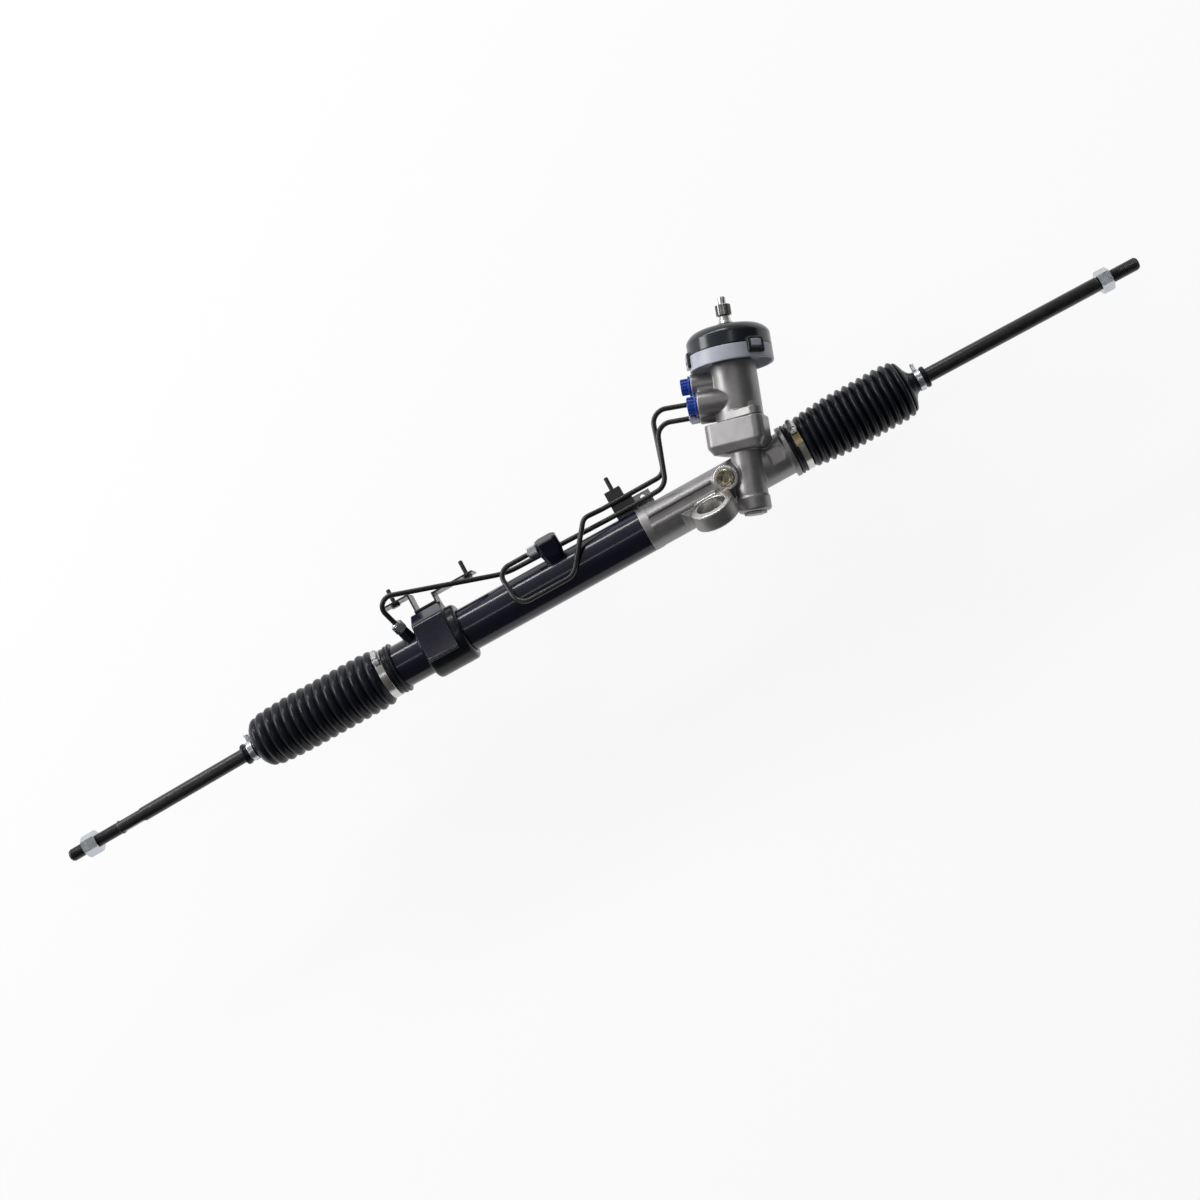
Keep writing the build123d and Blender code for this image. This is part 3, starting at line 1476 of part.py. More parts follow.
transfer_pipe_upper = pipe(
    [
        port_start(port_a_t, port_a_front), tower_point(port_a_t, upper_run_out, port_a_front),
        spot(upper_drop_x, pipe_level_a, pipe_front), spot(upper_clamp_x, pipe_level_a, pipe_front),
        spot(upper_turn_x, pipe_level_a, upper_turn_z), spot(upper_cross_x, upper_low_y, upper_cross_z),
        spot(upper_low_x, upper_low_y, upper_cross_z), car_point(upper_return_x, mid_nut_up, 0),
        mid_nut_plane.origin,
    ],
    [pipe_bend, pipe_tight_bend, pipe_wide_bend, pipe_tight_bend, pipe_bend, pipe_bend, pipe_tight_bend],
)
write(transfer_pipe_upper, "transfer_pipe_upper")
transfer_pipe_lower = pipe(
    [
        port_start(port_b_t, port_b_front), tower_point(port_b_t, lower_run_out, port_b_front),
        spot(lower_drop_x, pipe_level_b, lower_drop_z), spot(lower_clamp_right, pipe_level_b, pipe_front),
        spot(lower_clamp_left, pipe_level_b, pipe_front), spot(lower_dip_x, lower_dip_y, lower_dip_z),
        along_end_port(end_port_bend).origin, along_end_port(end_port_top + seat_gap).origin,
    ],
    [pipe_bend, pipe_bend, pipe_gentle_bend, pipe_gentle_bend, pipe_gentle_bend, pipe_tight_bend],
)
write(transfer_pipe_lower, "transfer_pipe_lower")

# Pipe clamp: grooved block and foot on the tube, its stud, and the plate on the housing
with BuildPart() as pipe_clamp:
    with BuildSketch(Plane(origin=spot(0, 0, clamp_block_front), x_dir=(1, 0, 0), z_dir=(0, 0, 1))):
        with Locations((clamp_block_left, clamp_foot_top)):
            Rectangle(
                clamp_block_right - clamp_block_left, clamp_block_top - clamp_foot_top,
                align=(Align.MIN, Align.MIN),
            )
        with Locations((clamp_block_left, clamp_block_bottom)):
            Rectangle(
                clamp_foot_right - clamp_block_left, clamp_foot_top - clamp_block_bottom,
                align=(Align.MIN, Align.MIN),
            )
    extrude(amount=clamp_block_back - clamp_block_front)
    for level in (pipe_level_a, pipe_level_b):
        with BuildSketch(across_rack(clamp_block_left, level, pipe_front)):
            Circle(pipe_r + bore_gap)
        extrude(amount=clamp_foot_right - clamp_block_left, mode=Mode.SUBTRACT)
write(pipe_clamp, "pipe_clamp")
clamp_middle = (clamp_block_left + clamp_block_right) / 2
clamp_stud = stud(
    clamp_middle, clamp_block_top, (clamp_block_front + clamp_block_back) / 2, clamp_stud_length
)
write(clamp_stud, "clamp_stud")

with BuildPart() as clamp_plate:
    with BuildSketch(Plane(origin=spot(0, 0, clamp_block_back / 2), x_dir=(1, 0, 0), z_dir=(0, 0, 1))):
        with Locations((plate_left, barrel_r)):
            Rectangle(plate_right - plate_left, plate_top - barrel_r, align=(Align.MIN, Align.MIN))
        with Locations((plate_left + (plate_right - plate_left) / 2, plate_top - 2 * plate_hole_r)):
            Circle(plate_hole_r, mode=Mode.SUBTRACT)
    extrude(amount=plate_thickness)
    with BuildSketch(across_rack(tube_shoulder)):
        Circle(tube_r + seat_gap)
    extrude(amount=plate_right - tube_shoulder + plate_foot, mode=Mode.SUBTRACT)
write(clamp_plate, "clamp_plate")
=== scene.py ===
import bmesh
import bpy
import math
from mathutils import Matrix, Vector


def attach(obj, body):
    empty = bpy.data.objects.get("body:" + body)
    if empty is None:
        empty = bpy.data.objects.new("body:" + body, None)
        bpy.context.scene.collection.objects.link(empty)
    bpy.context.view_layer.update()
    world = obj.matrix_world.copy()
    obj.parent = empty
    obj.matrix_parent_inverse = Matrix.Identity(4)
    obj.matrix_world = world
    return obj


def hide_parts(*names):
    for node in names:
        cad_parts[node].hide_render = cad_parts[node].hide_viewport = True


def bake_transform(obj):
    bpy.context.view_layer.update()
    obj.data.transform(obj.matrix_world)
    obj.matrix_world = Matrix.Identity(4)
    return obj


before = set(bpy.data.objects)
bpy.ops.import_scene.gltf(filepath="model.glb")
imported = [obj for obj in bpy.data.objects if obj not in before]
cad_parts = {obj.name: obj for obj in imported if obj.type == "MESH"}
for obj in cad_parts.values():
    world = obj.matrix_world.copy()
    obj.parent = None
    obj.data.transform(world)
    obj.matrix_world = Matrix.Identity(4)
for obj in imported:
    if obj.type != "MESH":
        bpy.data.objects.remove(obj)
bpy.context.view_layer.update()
print("frame loaded:", len(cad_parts), "nodes")

# Datum on the rack's axis, where the pinion crosses it, and the two leans of the gear
gear = {"datum": (0.2025, -0.064461, 0.0325), "pinionX": -5.9, "towerLean": 19.65, "carTilt": 30.0,
        "towerFront": 15.555}
lean = math.radians(gear["towerLean"])
tilt = math.radians(gear["carTilt"])
towerUp = Vector((math.sin(lean), math.cos(lean), 0))
towerSide = Vector((-math.cos(lean), math.sin(lean), 0))
carUp = Vector((0, math.cos(tilt), math.sin(tilt)))


def spot(x, y=0.0, z=0.0):  # millimetres from the datum
    return Vector(gear["datum"]) + Vector((x, y, z)) / 1000


def towerPoint(t, left=0.0, front=0.0):
    return spot(gear["pinionX"], 0, gear["towerFront"] + front) + (towerUp * t + towerSide * left) / 1000


def carPoint(x, up, out):
    return spot(x, up * math.cos(tilt) - out * math.sin(tilt), up * math.sin(tilt) + out * math.cos(tilt))


def standOn(origin, up, front=(0, 0, 1)):  # local z runs along up, local x towards front
    z = Vector(up).normalized()
    x = Vector(front) - z * z.dot(Vector(front))
    x = x.normalized() if x.length > 1e-6 else z.orthogonal().normalized()
    y = z.cross(x)
    return Matrix.Translation(origin) @ Matrix((x, y, z)).transposed().to_4x4()


def addNode(tree, kind, inputs=None, **settings):  # an input takes a value, a socket, or a node's first output
    node = tree.nodes.new(kind)
    for name, value in settings.items():
        setattr(node, name, value)
    for socket, value in (inputs or {}).items():
        source = value.outputs[0] if isinstance(value, bpy.types.Node) else value
        if isinstance(source, bpy.types.NodeSocket):
            tree.links.new(source, node.inputs[socket])
        else:
            node.inputs[socket].default_value = value
    return node


def mathNode(tree, operation, *values):
    return addNode(tree, "ShaderNodeMath", dict(enumerate(values)), operation=operation)


# Camera, floor and lamps
view = {"place": (0.1440, -0.29941, 1.8171), "lens": 51.2, "sensor": 36.0,
        "right": (0.87248, -0.47262, -0.12444), "up": (0.48163, 0.87470, 0.05481)}
stage = {"floorSize": 14.0, "floorLevel": -0.06, "floorColor": (0.86, 0.86, 0.87, 1), "floorGlow": 0.82,
         "glowStrength": 1.06, "skyWay": (-0.45, 0.85, -0.25), "skyFrom": -0.75, "skyTo": 1.0,
         "skyLow": 0.10, "skyHigh": 0.62, "lampAim": (0.05, 0, 0.03)}
lamps = [
    {"name": "lowStrip", "place": (-0.25, 2.35, 1.0), "size": (2.8, 0.22), "power": 34.0},
    {"name": "highStrip", "place": (0.0, 0.16, 2.3), "size": (2.6, 0.13), "power": 3.4},
    {"name": "softBox", "place": (-2.1, 1.3, 0.95), "size": (1.3, 1.0), "power": 29.0},
]


def makeCamera():
    right, up = Vector(view["right"]), Vector(view["up"])
    data = bpy.data.cameras.new("photoView")
    data.lens = view["lens"]
    data.sensor_width = view["sensor"]
    camera = bpy.data.objects.new("photoView", data)
    turn = Matrix((right, up, right.cross(up))).transposed().to_4x4()
    camera.matrix_world = Matrix.Translation(view["place"]) @ turn
    bpy.context.scene.collection.objects.link(camera)
    bpy.context.scene.camera = camera


def bareTree(owner):
    owner.use_nodes = True
    owner.node_tree.nodes.clear()
    return owner.node_tree


def makeFloor():
    bm = bmesh.new()
    half = stage["floorSize"] / 2
    corners = ((-half, -half), (half, -half), (half, half), (-half, half))
    bm.faces.new([bm.verts.new((x, y, stage["floorLevel"])) for x, y in corners])
    mesh = bpy.data.meshes.new("floor")
    bm.to_mesh(mesh)
    bm.free()
    floor = bpy.data.objects.new("floor", mesh)
    bpy.context.scene.collection.objects.link(floor)
    mat = bpy.data.materials.new("paleFloor")
    mesh.materials.append(mat)
    tree = bareTree(mat)
    path = addNode(tree, "ShaderNodeLightPath")
    shown = path.outputs["Is Camera Ray"]  # 1 for the camera and for what metal or glass mirrors
    for kind in ("Is Glossy Ray", "Is Transmission Ray"):
        shown = mathNode(tree, "MAXIMUM", shown, path.outputs[kind])
    diffuse = addNode(tree, "ShaderNodeBsdfDiffuse", {"Color": stage["floorColor"]})
    glow = addNode(tree, "ShaderNodeEmission", {"Color": (1, 1, 1, 1), "Strength": stage["glowStrength"]})
    mix = addNode(tree, "ShaderNodeMixShader", {
        0: mathNode(tree, "MULTIPLY", shown, stage["floorGlow"]), 1: diffuse, 2: glow})
    addNode(tree, "ShaderNodeOutputMaterial", {"Surface": mix})


def makeRoom():  # white to the camera, brighter on the window's side for everything else
    world = bpy.data.worlds.new("paleRoom")
    bpy.context.scene.world = world
    tree = bareTree(world)
    toWindow = addNode(tree, "ShaderNodeVectorMath", {
        0: addNode(tree, "ShaderNodeTexCoord").outputs["Generated"], 1: Vector(stage["skyWay"]).normalized()},
        operation="DOT_PRODUCT")
    ramp = addNode(tree, "ShaderNodeMapRange", {
        "Value": toWindow.outputs["Value"], "From Min": stage["skyFrom"], "From Max": stage["skyTo"],
        "To Min": stage["skyLow"], "To Max": stage["skyHigh"]}, interpolation_type="SMOOTHSTEP")
    room = addNode(tree, "ShaderNodeBackground", {"Color": (1, 1, 1, 1), "Strength": ramp})
    plain = addNode(tree, "ShaderNodeBackground", {"Color": (1, 1, 1, 1)})
    path = addNode(tree, "ShaderNodeLightPath")
    mix = addNode(tree, "ShaderNodeMixShader", {0: path.outputs["Is Camera Ray"], 1: room, 2: plain})
    addNode(tree, "ShaderNodeOutputWorld", {"Surface": mix})


def makeLamp(lamp):
    data = bpy.data.lights.new(lamp["name"], "AREA")
    data.shape = "RECTANGLE"
    data.size, data.size_y = lamp["size"]
    data.energy = lamp["power"]
    obj = bpy.data.objects.new(lamp["name"], data)
    aim = Vector(stage["lampAim"]) - Vector(lamp["place"])
    obj.rotation_euler = aim.to_track_quat("-Z", "Y").to_euler()
    obj.location = lamp["place"]
    bpy.context.scene.collection.objects.link(obj)


bpy.context.scene.view_settings.view_transform = "Standard"
makeCamera()
makeFloor()
makeRoom()
for lamp in lamps:
    makeLamp(lamp)
print("stage ready")

# Finishes: two clouded colours, a spread of roughness, and a fine bump where the surface has one
texture = {"detail": 6.0, "breakUp": 0.62, "lowCloud": 0.3, "highCloud": 0.7, "fineDetail": 4.0,
           "fineDepth": 0.0003, "wideDepth": 0.001}


def finish(name, base, second, rough, spread, patch, metal=0.0, softness=0.2, bump=0.0, grain=1500.0,
           coarse=0.0, coat=0.0, coatRough=0.08, specular=0.5):
    mat = bpy.data.materials.new(name)
    mat.use_nodes = True
    tree = mat.node_tree
    shader = tree.nodes["Principled BSDF"]
    for label, value in (("Base Color", (*base, 1)), ("Metallic", metal), ("Roughness", rough),
                         ("Specular IOR Level", specular), ("Coat Weight", coat),
                         ("Coat Roughness", coatRough)):
        shader.inputs[label].default_value = value
    coord = addNode(tree, "ShaderNodeTexCoord").outputs["Object"]
    clouds = addNode(tree, "ShaderNodeTexNoise", {
        "Vector": coord, "Scale": patch, "Detail": texture["detail"],
        "Roughness": texture["breakUp"]}).outputs["Fac"]
    ramp = addNode(tree, "ShaderNodeValToRGB", {"Fac": clouds})
    low, high = ramp.color_ramp.elements
    low.position, high.position = 0.5 - softness, 0.5 + softness
    low.color, high.color = (*base, 1), (*second, 1)
    shine = addNode(tree, "ShaderNodeMapRange", {
        "Value": clouds, "From Min": texture["lowCloud"], "From Max": texture["highCloud"],
        "To Min": rough - spread, "To Max": rough + spread})
    tree.links.new(ramp.outputs[0], shader.inputs["Base Color"])
    tree.links.new(shine.outputs[0], shader.inputs["Roughness"])
    if bump:
        fine = addNode(tree, "ShaderNodeTexNoise", {
            "Vector": coord, "Scale": grain, "Detail": texture["fineDetail"]})
        relief = addNode(tree, "ShaderNodeBump", {
            "Strength": bump, "Distance": texture["fineDepth"], "Height": fine.outputs["Fac"]})
        tree.links.new(relief.outputs[0], shader.inputs["Normal"])
    if coarse:
        wide = addNode(tree, "ShaderNodeBump", {
            "Strength": coarse, "Distance": texture["wideDepth"], "Height": clouds})
        tree.links.new(wide.outputs[0], relief.inputs["Normal"])
    return mat


castAluminium = finish("castAluminium", (0.235, 0.228, 0.228), (0.335, 0.325, 0.325), rough=0.41, spread=0.1,
                       patch=45, metal=0.75, bump=0.30, grain=1100, coarse=0.1)
machinedAluminium = finish("machinedAluminium", (0.56, 0.555, 0.54), (0.66, 0.65, 0.63), rough=0.24,
                           spread=0.06, patch=160, metal=0.95, bump=0.06, grain=2600)
glossPaint = finish("blackGlossPaint", (0.0030, 0.0034, 0.013), (0.006, 0.0066, 0.024), rough=0.18,
                    spread=0.03, patch=40, coat=0.25, coatRough=0.06, specular=0.34)
satinPaint = finish("blackSatinCoating", (0.007, 0.007, 0.008), (0.016, 0.016, 0.018), rough=0.32,
                    spread=0.08, patch=90, bump=0.12, grain=1400)
bellowsRubber = finish("bellowsRubber", (0.004, 0.005, 0.009), (0.008, 0.009, 0.015), rough=0.31,
                       spread=0.05, patch=60, bump=0.04, specular=0.24)
bushRubber = finish("bushRubber", (0.004, 0.005, 0.009), (0.008, 0.009, 0.014), rough=0.24, spread=0.05,
                    patch=80, bump=0.03, grain=1200, specular=0.3)
capRubber = finish("capRubber", (0.007, 0.010, 0.016), (0.013, 0.018, 0.026), rough=0.22, spread=0.05,
                   patch=30, bump=0.03, grain=1300, coat=0.2, coatRough=0.12, specular=0.4)
brightSteel = finish("machinedSteel", (0.50, 0.49, 0.47), (0.62, 0.61, 0.59), rough=0.22, spread=0.08,
                     patch=200, metal=1, bump=0.08, grain=2200)
darkSteel = finish("hardenedSteel", (0.12, 0.12, 0.12), (0.20, 0.20, 0.19), rough=0.35, spread=0.08,
                   patch=120, metal=1, bump=0.1, grain=1800)
zincPlate = finish("paleZincPlate", (0.48, 0.51, 0.55), (0.62, 0.64, 0.67), rough=0.26, spread=0.1,
                   patch=220, metal=1, bump=0.08, grain=1700)
bandSteel = finish("bandSteel", (0.52, 0.51, 0.49), (0.64, 0.63, 0.61), rough=0.24, spread=0.08,
                   patch=130, metal=1, bump=0.05, grain=1700)
goldBand = finish("goldenBandSteel", (0.26, 0.19, 0.08), (0.42, 0.35, 0.20), rough=0.28, spread=0.08,
                  patch=90, metal=1, softness=0.15, bump=0.05, grain=1700)
bronze = finish("bearingBronze", (0.48, 0.33, 0.15), (0.58, 0.42, 0.22), rough=0.35, spread=0.08,
                patch=90, metal=1, bump=0.1)
brassPlug = finish("olivePlatedBrass", (0.24, 0.205, 0.135), (0.42, 0.375, 0.28), rough=0.23, spread=0.1,
                   patch=260, metal=1, bump=0.1)
palePlastic = finish("paleMouldedPlastic", (0.44, 0.46, 0.54), (0.52, 0.54, 0.61), rough=0.36,
                     spread=0.06, patch=50, bump=0.04, grain=1200)
bluePlastic = finish("bluePlastic", (0.004, 0.035, 0.28), (0.007, 0.07, 0.50), rough=0.28, spread=0.06,
                     patch=160, bump=0.04, grain=900)
pipeCoat = finish("darkPipeCoating", (0.008, 0.008, 0.008), (0.017, 0.017, 0.016), rough=0.28,
                  spread=0.03, patch=140)
blackPlastic = finish("blackClipPlastic", (0.007, 0.007, 0.009), (0.014, 0.014, 0.016), rough=0.38,
                      spread=0.08, patch=100, bump=0.08, grain=1400)
stripPaint = finish("blackStripPaint", (0.008, 0.008, 0.009), (0.035, 0.035, 0.038), rough=0.30,
                    spread=0.1, patch=170, bump=0.08)
greySteel = finish("greySteelSheet", (0.24, 0.25, 0.28), (0.34, 0.35, 0.38), rough=0.34, spread=0.1,
                   patch=140, metal=0.9, bump=0.08, grain=1700)
sealRubber = finish("sealRubber", (0.012, 0.012, 0.012), (0.02, 0.02, 0.02), rough=0.5, spread=0.05,
                    patch=100, bump=0.05)

nodeFinish = {
    castAluminium: "rack_housing valve_housing lower_cap yoke",
    glossPaint: "cylinder_tube saddle_bracket middle_port end_port",
    satinPaint: "tie_rod_left tie_rod_right",
    brightSteel: "rack_bar pinion_shaft input_shaft torsion_bar valve_sleeve piston lock_washers socket_left "
                 "socket_right yoke_plug",
    darkSteel: "lower_bearing pinion_bearing upper_bearing end_retainer yoke_spring valve_bolts",
    zincPlate: "jam_nut_left jam_nut_right pipe_nut_middle pipe_nut_end pipe_nut_upper pipe_nut_lower "
               "small_clip_left small_clip_right",
    greySteel: "clamp_plate",
    stripPaint: "stud_strip strip_studs clamp_stud",
    bandSteel: "clamp_left",
    goldBand: "clamp_right",
    bellowsRubber: "boot_left boot_right",
    bushRubber: "saddle_bush",
    capRubber: "dust_cap",
    sealRubber: "input_seal end_seal inner_seal",
    bronze: "end_bush inner_bush",
    brassPlug: "housing_plug",
    palePlastic: "cap_ring ball_seat_left ball_seat_right piston_ring sleeve_rings",
    bluePlastic: "pressure_plug return_plug",
    pipeCoat: "transfer_pipe_upper transfer_pipe_lower",
    blackPlastic: "pipe_clamp",
}
for mat, names in nodeFinish.items():
    for name in names.split():
        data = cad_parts[name].data
        data.materials.clear()
        data.materials.append(mat)
print("finishes on", sum(len(names.split()) for names in nodeFinish.values()), "nodes")


# Shared makers, with profiles and outlines in millimetres
def fromBmesh(name, bm, mat, sharp=35.0):
    bmesh.ops.remove_doubles(bm, verts=bm.verts, dist=1e-6)
    bmesh.ops.recalc_face_normals(bm, faces=bm.faces)
    limit = math.radians(sharp)
    for face in bm.faces:
        face.smooth = True
    for line in bm.edges:
        line.smooth = len(line.link_faces) == 2 and line.calc_face_angle(0) < limit
    mesh = bpy.data.meshes.new(name)
    bm.to_mesh(mesh)
    bm.free()
    obj = bpy.data.objects.new(name, mesh)
    mesh.materials.clear()
    mesh.materials.append(mat)
    bpy.context.scene.collection.objects.link(obj)
    return obj


def polar(radius, angle, height):
    return Vector((radius * math.cos(angle), radius * math.sin(angle), height)) / 1000


def lift(height):
    return Matrix.Translation((0, 0, height / 1000))


def bridge(bm, low, high):  # joins two rings of the same length
    for k in range(len(low)):
        n = (k + 1) % len(low)
        bm.faces.new((low[k], low[n], high[n], high[k]))


def addTurned(bm, profile, matrix, steps=64, loop=False):  # (radius, height) pairs turned round local z
    rings = []
    for radius, height in profile:
        count = 1 if radius < 1e-6 else steps
        rings.append([bm.verts.new(matrix @ polar(radius, 2 * math.pi * k / steps, height))
                      for k in range(count)])
    pairs = list(zip(rings, rings[1:])) + ([(rings[-1], rings[0])] if loop else [])
    for low, high in pairs:
        if len(low) == len(high) == steps:
            bridge(bm, low, high)
            continue
        for k in range(steps):
            n = (k + 1) % steps
            if len(high) == steps:
                bm.faces.new((low[0], high[k], high[n]))
            elif len(low) == steps:
                bm.faces.new((low[k], low[n], high[0]))


hexShape = {"cornerExcess": 0.155, "faceShare": 0.97, "chamferSlope": 0.6, "steps": 72}


def hexRadius(apothem, angle):
    return apothem / math.cos((angle + math.pi / 6) % (math.pi / 3) - math.pi / 6)


def addHex(bm, matrix, flats, length, hole, chamfer=0.4, start=0.0, turn=0.0):  # chamfered at both ends
    apothem = flats / 2
    face = apothem * (1 + hexShape["cornerExcess"] * chamfer) * hexShape["faceShare"]

    def ring(radiusOf, heightOf):
        verts = []
        for k in range(hexShape["steps"]):
            a = 2 * math.pi * k / hexShape["steps"]
            edge = hexRadius(apothem, a)
            verts.append(bm.verts.new(matrix @ polar(radiusOf(edge), a + turn, heightOf(edge))))
        return verts

    def drop(edge):
        return max(0.0, edge - face) * hexShape["chamferSlope"]

    rings = [
        ring(lambda e: hole, lambda e: start),
        ring(lambda e: min(e, face), lambda e: start),
        ring(lambda e: e, lambda e: start + drop(e)),
        ring(lambda e: e, lambda e: start + length - drop(e)),
        ring(lambda e: min(e, face), lambda e: start + length),
        ring(lambda e: hole, lambda e: start + length),
    ]
    for low, high in zip(rings, rings[1:] + rings[:1]):
        bridge(bm, low, high)


def addPrism(bm, outline, matrix, low, high):  # an outline in local x and y, drawn out along local z
    rings = [[bm.verts.new(matrix @ (Vector((x, y, z)) / 1000)) for x, y in outline] for z in (low, high)]
    for ring in rings:
        bm.faces.new(ring)
    bridge(bm, *rings)


def addStrip(bm, matrix, inner, outer, half, start, stop, steps):  # a curved band between two angles
    edge = min(0.25, (outer - inner) * 0.3)
    section = [(inner, -half), (outer - edge, -half), (outer, -half + edge), (outer, half - edge),
               (outer - edge, half), (inner, half)]
    rings = []
    for k in range(steps + 1):
        a = math.radians(start + (stop - start) * k / steps)
        rings.append([bm.verts.new(matrix @ polar(r, a, h)) for r, h in section])
    for low, high in zip(rings, rings[1:]):
        bridge(bm, low, high)
    bm.faces.new(rings[0])
    bm.faces.new(rings[-1])


def flatten(obj):  # turns the object's modifiers into plain mesh
    depsgraph = bpy.context.evaluated_depsgraph_get()
    mesh = bpy.data.meshes.new_from_object(obj.evaluated_get(depsgraph))
    old = obj.data
    obj.modifiers.clear()
    obj.data = mesh
    bpy.data.meshes.remove(old)
    return obj


def roundOff(obj, width, angle=30.0):
    bevel = obj.modifiers.new("roundEdges", "BEVEL")
    bevel.width = width / 1000
    bevel.segments = 2
    bevel.limit_method = "ANGLE"
    bevel.angle_limit = math.radians(angle)
    return flatten(obj)


def onBody(body, slot, *pieces):
    for piece in pieces:
        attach(piece, body)


# Trees: named inputs, set by their identifiers before the first evaluation
def newTree(name, inputs):
    tree = bpy.data.node_groups.new(name, "GeometryNodeTree")
    for label, value in inputs.items():
        kind = {float: "Float", int: "Int", tuple: "Vector"}[type(value)]
        socket = tree.interface.new_socket(name=label, in_out="INPUT", socket_type="NodeSocket" + kind)
        socket.default_value = value
    tree.interface.new_socket(name="Material", in_out="INPUT", socket_type="NodeSocketMaterial")
    tree.interface.new_socket(name="Geometry", in_out="OUTPUT", socket_type="NodeSocketGeometry")
    return tree, addNode(tree, "NodeGroupInput").outputs


def endTree(tree, given, geometry):
    realize = addNode(tree, "GeometryNodeRealizeInstances", {0: geometry})
    finished = addNode(tree, "GeometryNodeSetMaterial", {"Geometry": realize, "Material": given["Material"]})
    addNode(tree, "NodeGroupOutput", {0: finished})
    return tree


def grow(name, tree, values, matrix, mat, sharp=35.0):  # runs a tree once and keeps its result as a mesh
    seed = bpy.data.objects.new(name + "Seed", bpy.data.meshes.new(name + "Seed"))
    bpy.context.scene.collection.objects.link(seed)
    modifier = seed.modifiers.new(tree.name, "NODES")
    modifier.node_group = tree
    for item in tree.interface.items_tree:
        if item.in_out == "INPUT":
            modifier[item.identifier] = mat if item.name == "Material" else values[item.name]
    depsgraph = bpy.context.evaluated_depsgraph_get()
    mesh = bpy.data.meshes.new_from_object(seed.evaluated_get(depsgraph))
    bpy.data.objects.remove(seed)
    mesh.transform(matrix)
    bm = bmesh.new()
    bm.from_mesh(mesh)
    bpy.data.meshes.remove(mesh)
    return fromBmesh(name, bm, mat, sharp)


# The folds grow shallower where the outline narrows: from "calmTo" of the crest down to "calmFrom"
foldShape = {"calmFrom": 0.80, "calmTo": 0.97, "calmest": 0.25}


def bellowsTree(name, outline):  # a tube with a swell for each fold; outline: (share along, share of crest)
    tree, given = newTree(name, {"Start": 0.0, "End": 0.1, "Whole": 0.1, "Folds": 10.0, "Crest": 0.03,
                                 "Depth": 0.003, "Sharpness": 0.8, "Steps": 160, "Sides": 96})

    def calc(operation, *values):
        return mathNode(tree, operation, *values)

    line = addNode(tree, "GeometryNodeCurvePrimitiveLine", {
        "Start": addNode(tree, "ShaderNodeCombineXYZ", {"Z": given["Start"]}),
        "End": addNode(tree, "ShaderNodeCombineXYZ", {"Z": given["End"]})})
    resample = addNode(tree, "GeometryNodeResampleCurve", {"Curve": line, "Count": given["Steps"]})
    along = addNode(tree, "GeometryNodeSplineParameter").outputs["Factor"]
    length = calc("SUBTRACT", given["End"], given["Start"])
    height = calc("ADD", given["Start"], calc("MULTIPLY", along, length))
    share = calc("DIVIDE", height, given["Whole"])
    wave = calc("ABSOLUTE", calc("SINE", calc("MULTIPLY", calc("MULTIPLY", share, given["Folds"]), math.pi)))
    wave = calc("POWER", wave, given["Sharpness"])
    shape = addNode(tree, "ShaderNodeFloatCurve", {"Value": share})
    points = shape.mapping.curves[0].points
    for at in outline[2:]:
        points.new(*at)
    for point, at in zip(points, outline):
        point.location = at
        point.handle_type = "AUTO_CLAMPED"
    shape.mapping.update()
    calm = addNode(tree, "ShaderNodeMapRange", {
        "Value": shape, "From Min": foldShape["calmFrom"], "From Max": foldShape["calmTo"],
        "To Min": foldShape["calmest"]})
    dip = calc("MULTIPLY", calc("MULTIPLY", given["Depth"], calm), calc("SUBTRACT", 1.0, wave))
    radius = calc("SUBTRACT", calc("MULTIPLY", given["Crest"], shape), dip)
    ring = addNode(tree, "GeometryNodeCurvePrimitiveCircle", {"Radius": 1.0, "Resolution": given["Sides"]})
    skin = addNode(tree, "GeometryNodeCurveToMesh", {"Curve": resample, "Profile Curve": ring, "Scale": radius})
    return endTree(tree, given, skin)


def threadTree():  # a ridge wound round a core
    tree, given = newTree("thread", {"Length": 0.02, "Pitch": 0.0015, "Outer": 0.007, "Depth": 0.0008})
    middle = mathNode(tree, "SUBTRACT", given["Outer"], given["Depth"])
    spiral = addNode(tree, "GeometryNodeCurveSpiral", {
        "Resolution": 24, "Rotations": mathNode(tree, "DIVIDE", given["Length"], given["Pitch"]),
        "Start Radius": middle, "End Radius": middle, "Height": given["Length"]})
    upright = addNode(tree, "GeometryNodeSetCurveNormal", {"Curve": spiral}, mode="Z_UP")
    ridge = addNode(tree, "GeometryNodeCurvePrimitiveCircle", {"Resolution": 4, "Radius": given["Depth"]})
    wound = addNode(tree, "GeometryNodeCurveToMesh", {
        "Curve": upright, "Profile Curve": ridge, "Fill Caps": True})
    core = addNode(tree, "GeometryNodeMeshCylinder", {
        "Vertices": 32, "Radius": middle, "Depth": given["Length"]})
    offset = addNode(tree, "ShaderNodeCombineXYZ", {"Z": mathNode(tree, "MULTIPLY", given["Length"], 0.5)})
    raised = addNode(tree, "GeometryNodeTransform", {"Geometry": core, "Translation": offset})
    join = addNode(tree, "GeometryNodeJoinGeometry", {0: wound})
    tree.links.new(raised.outputs[0], join.inputs[0])
    return endTree(tree, given, join)


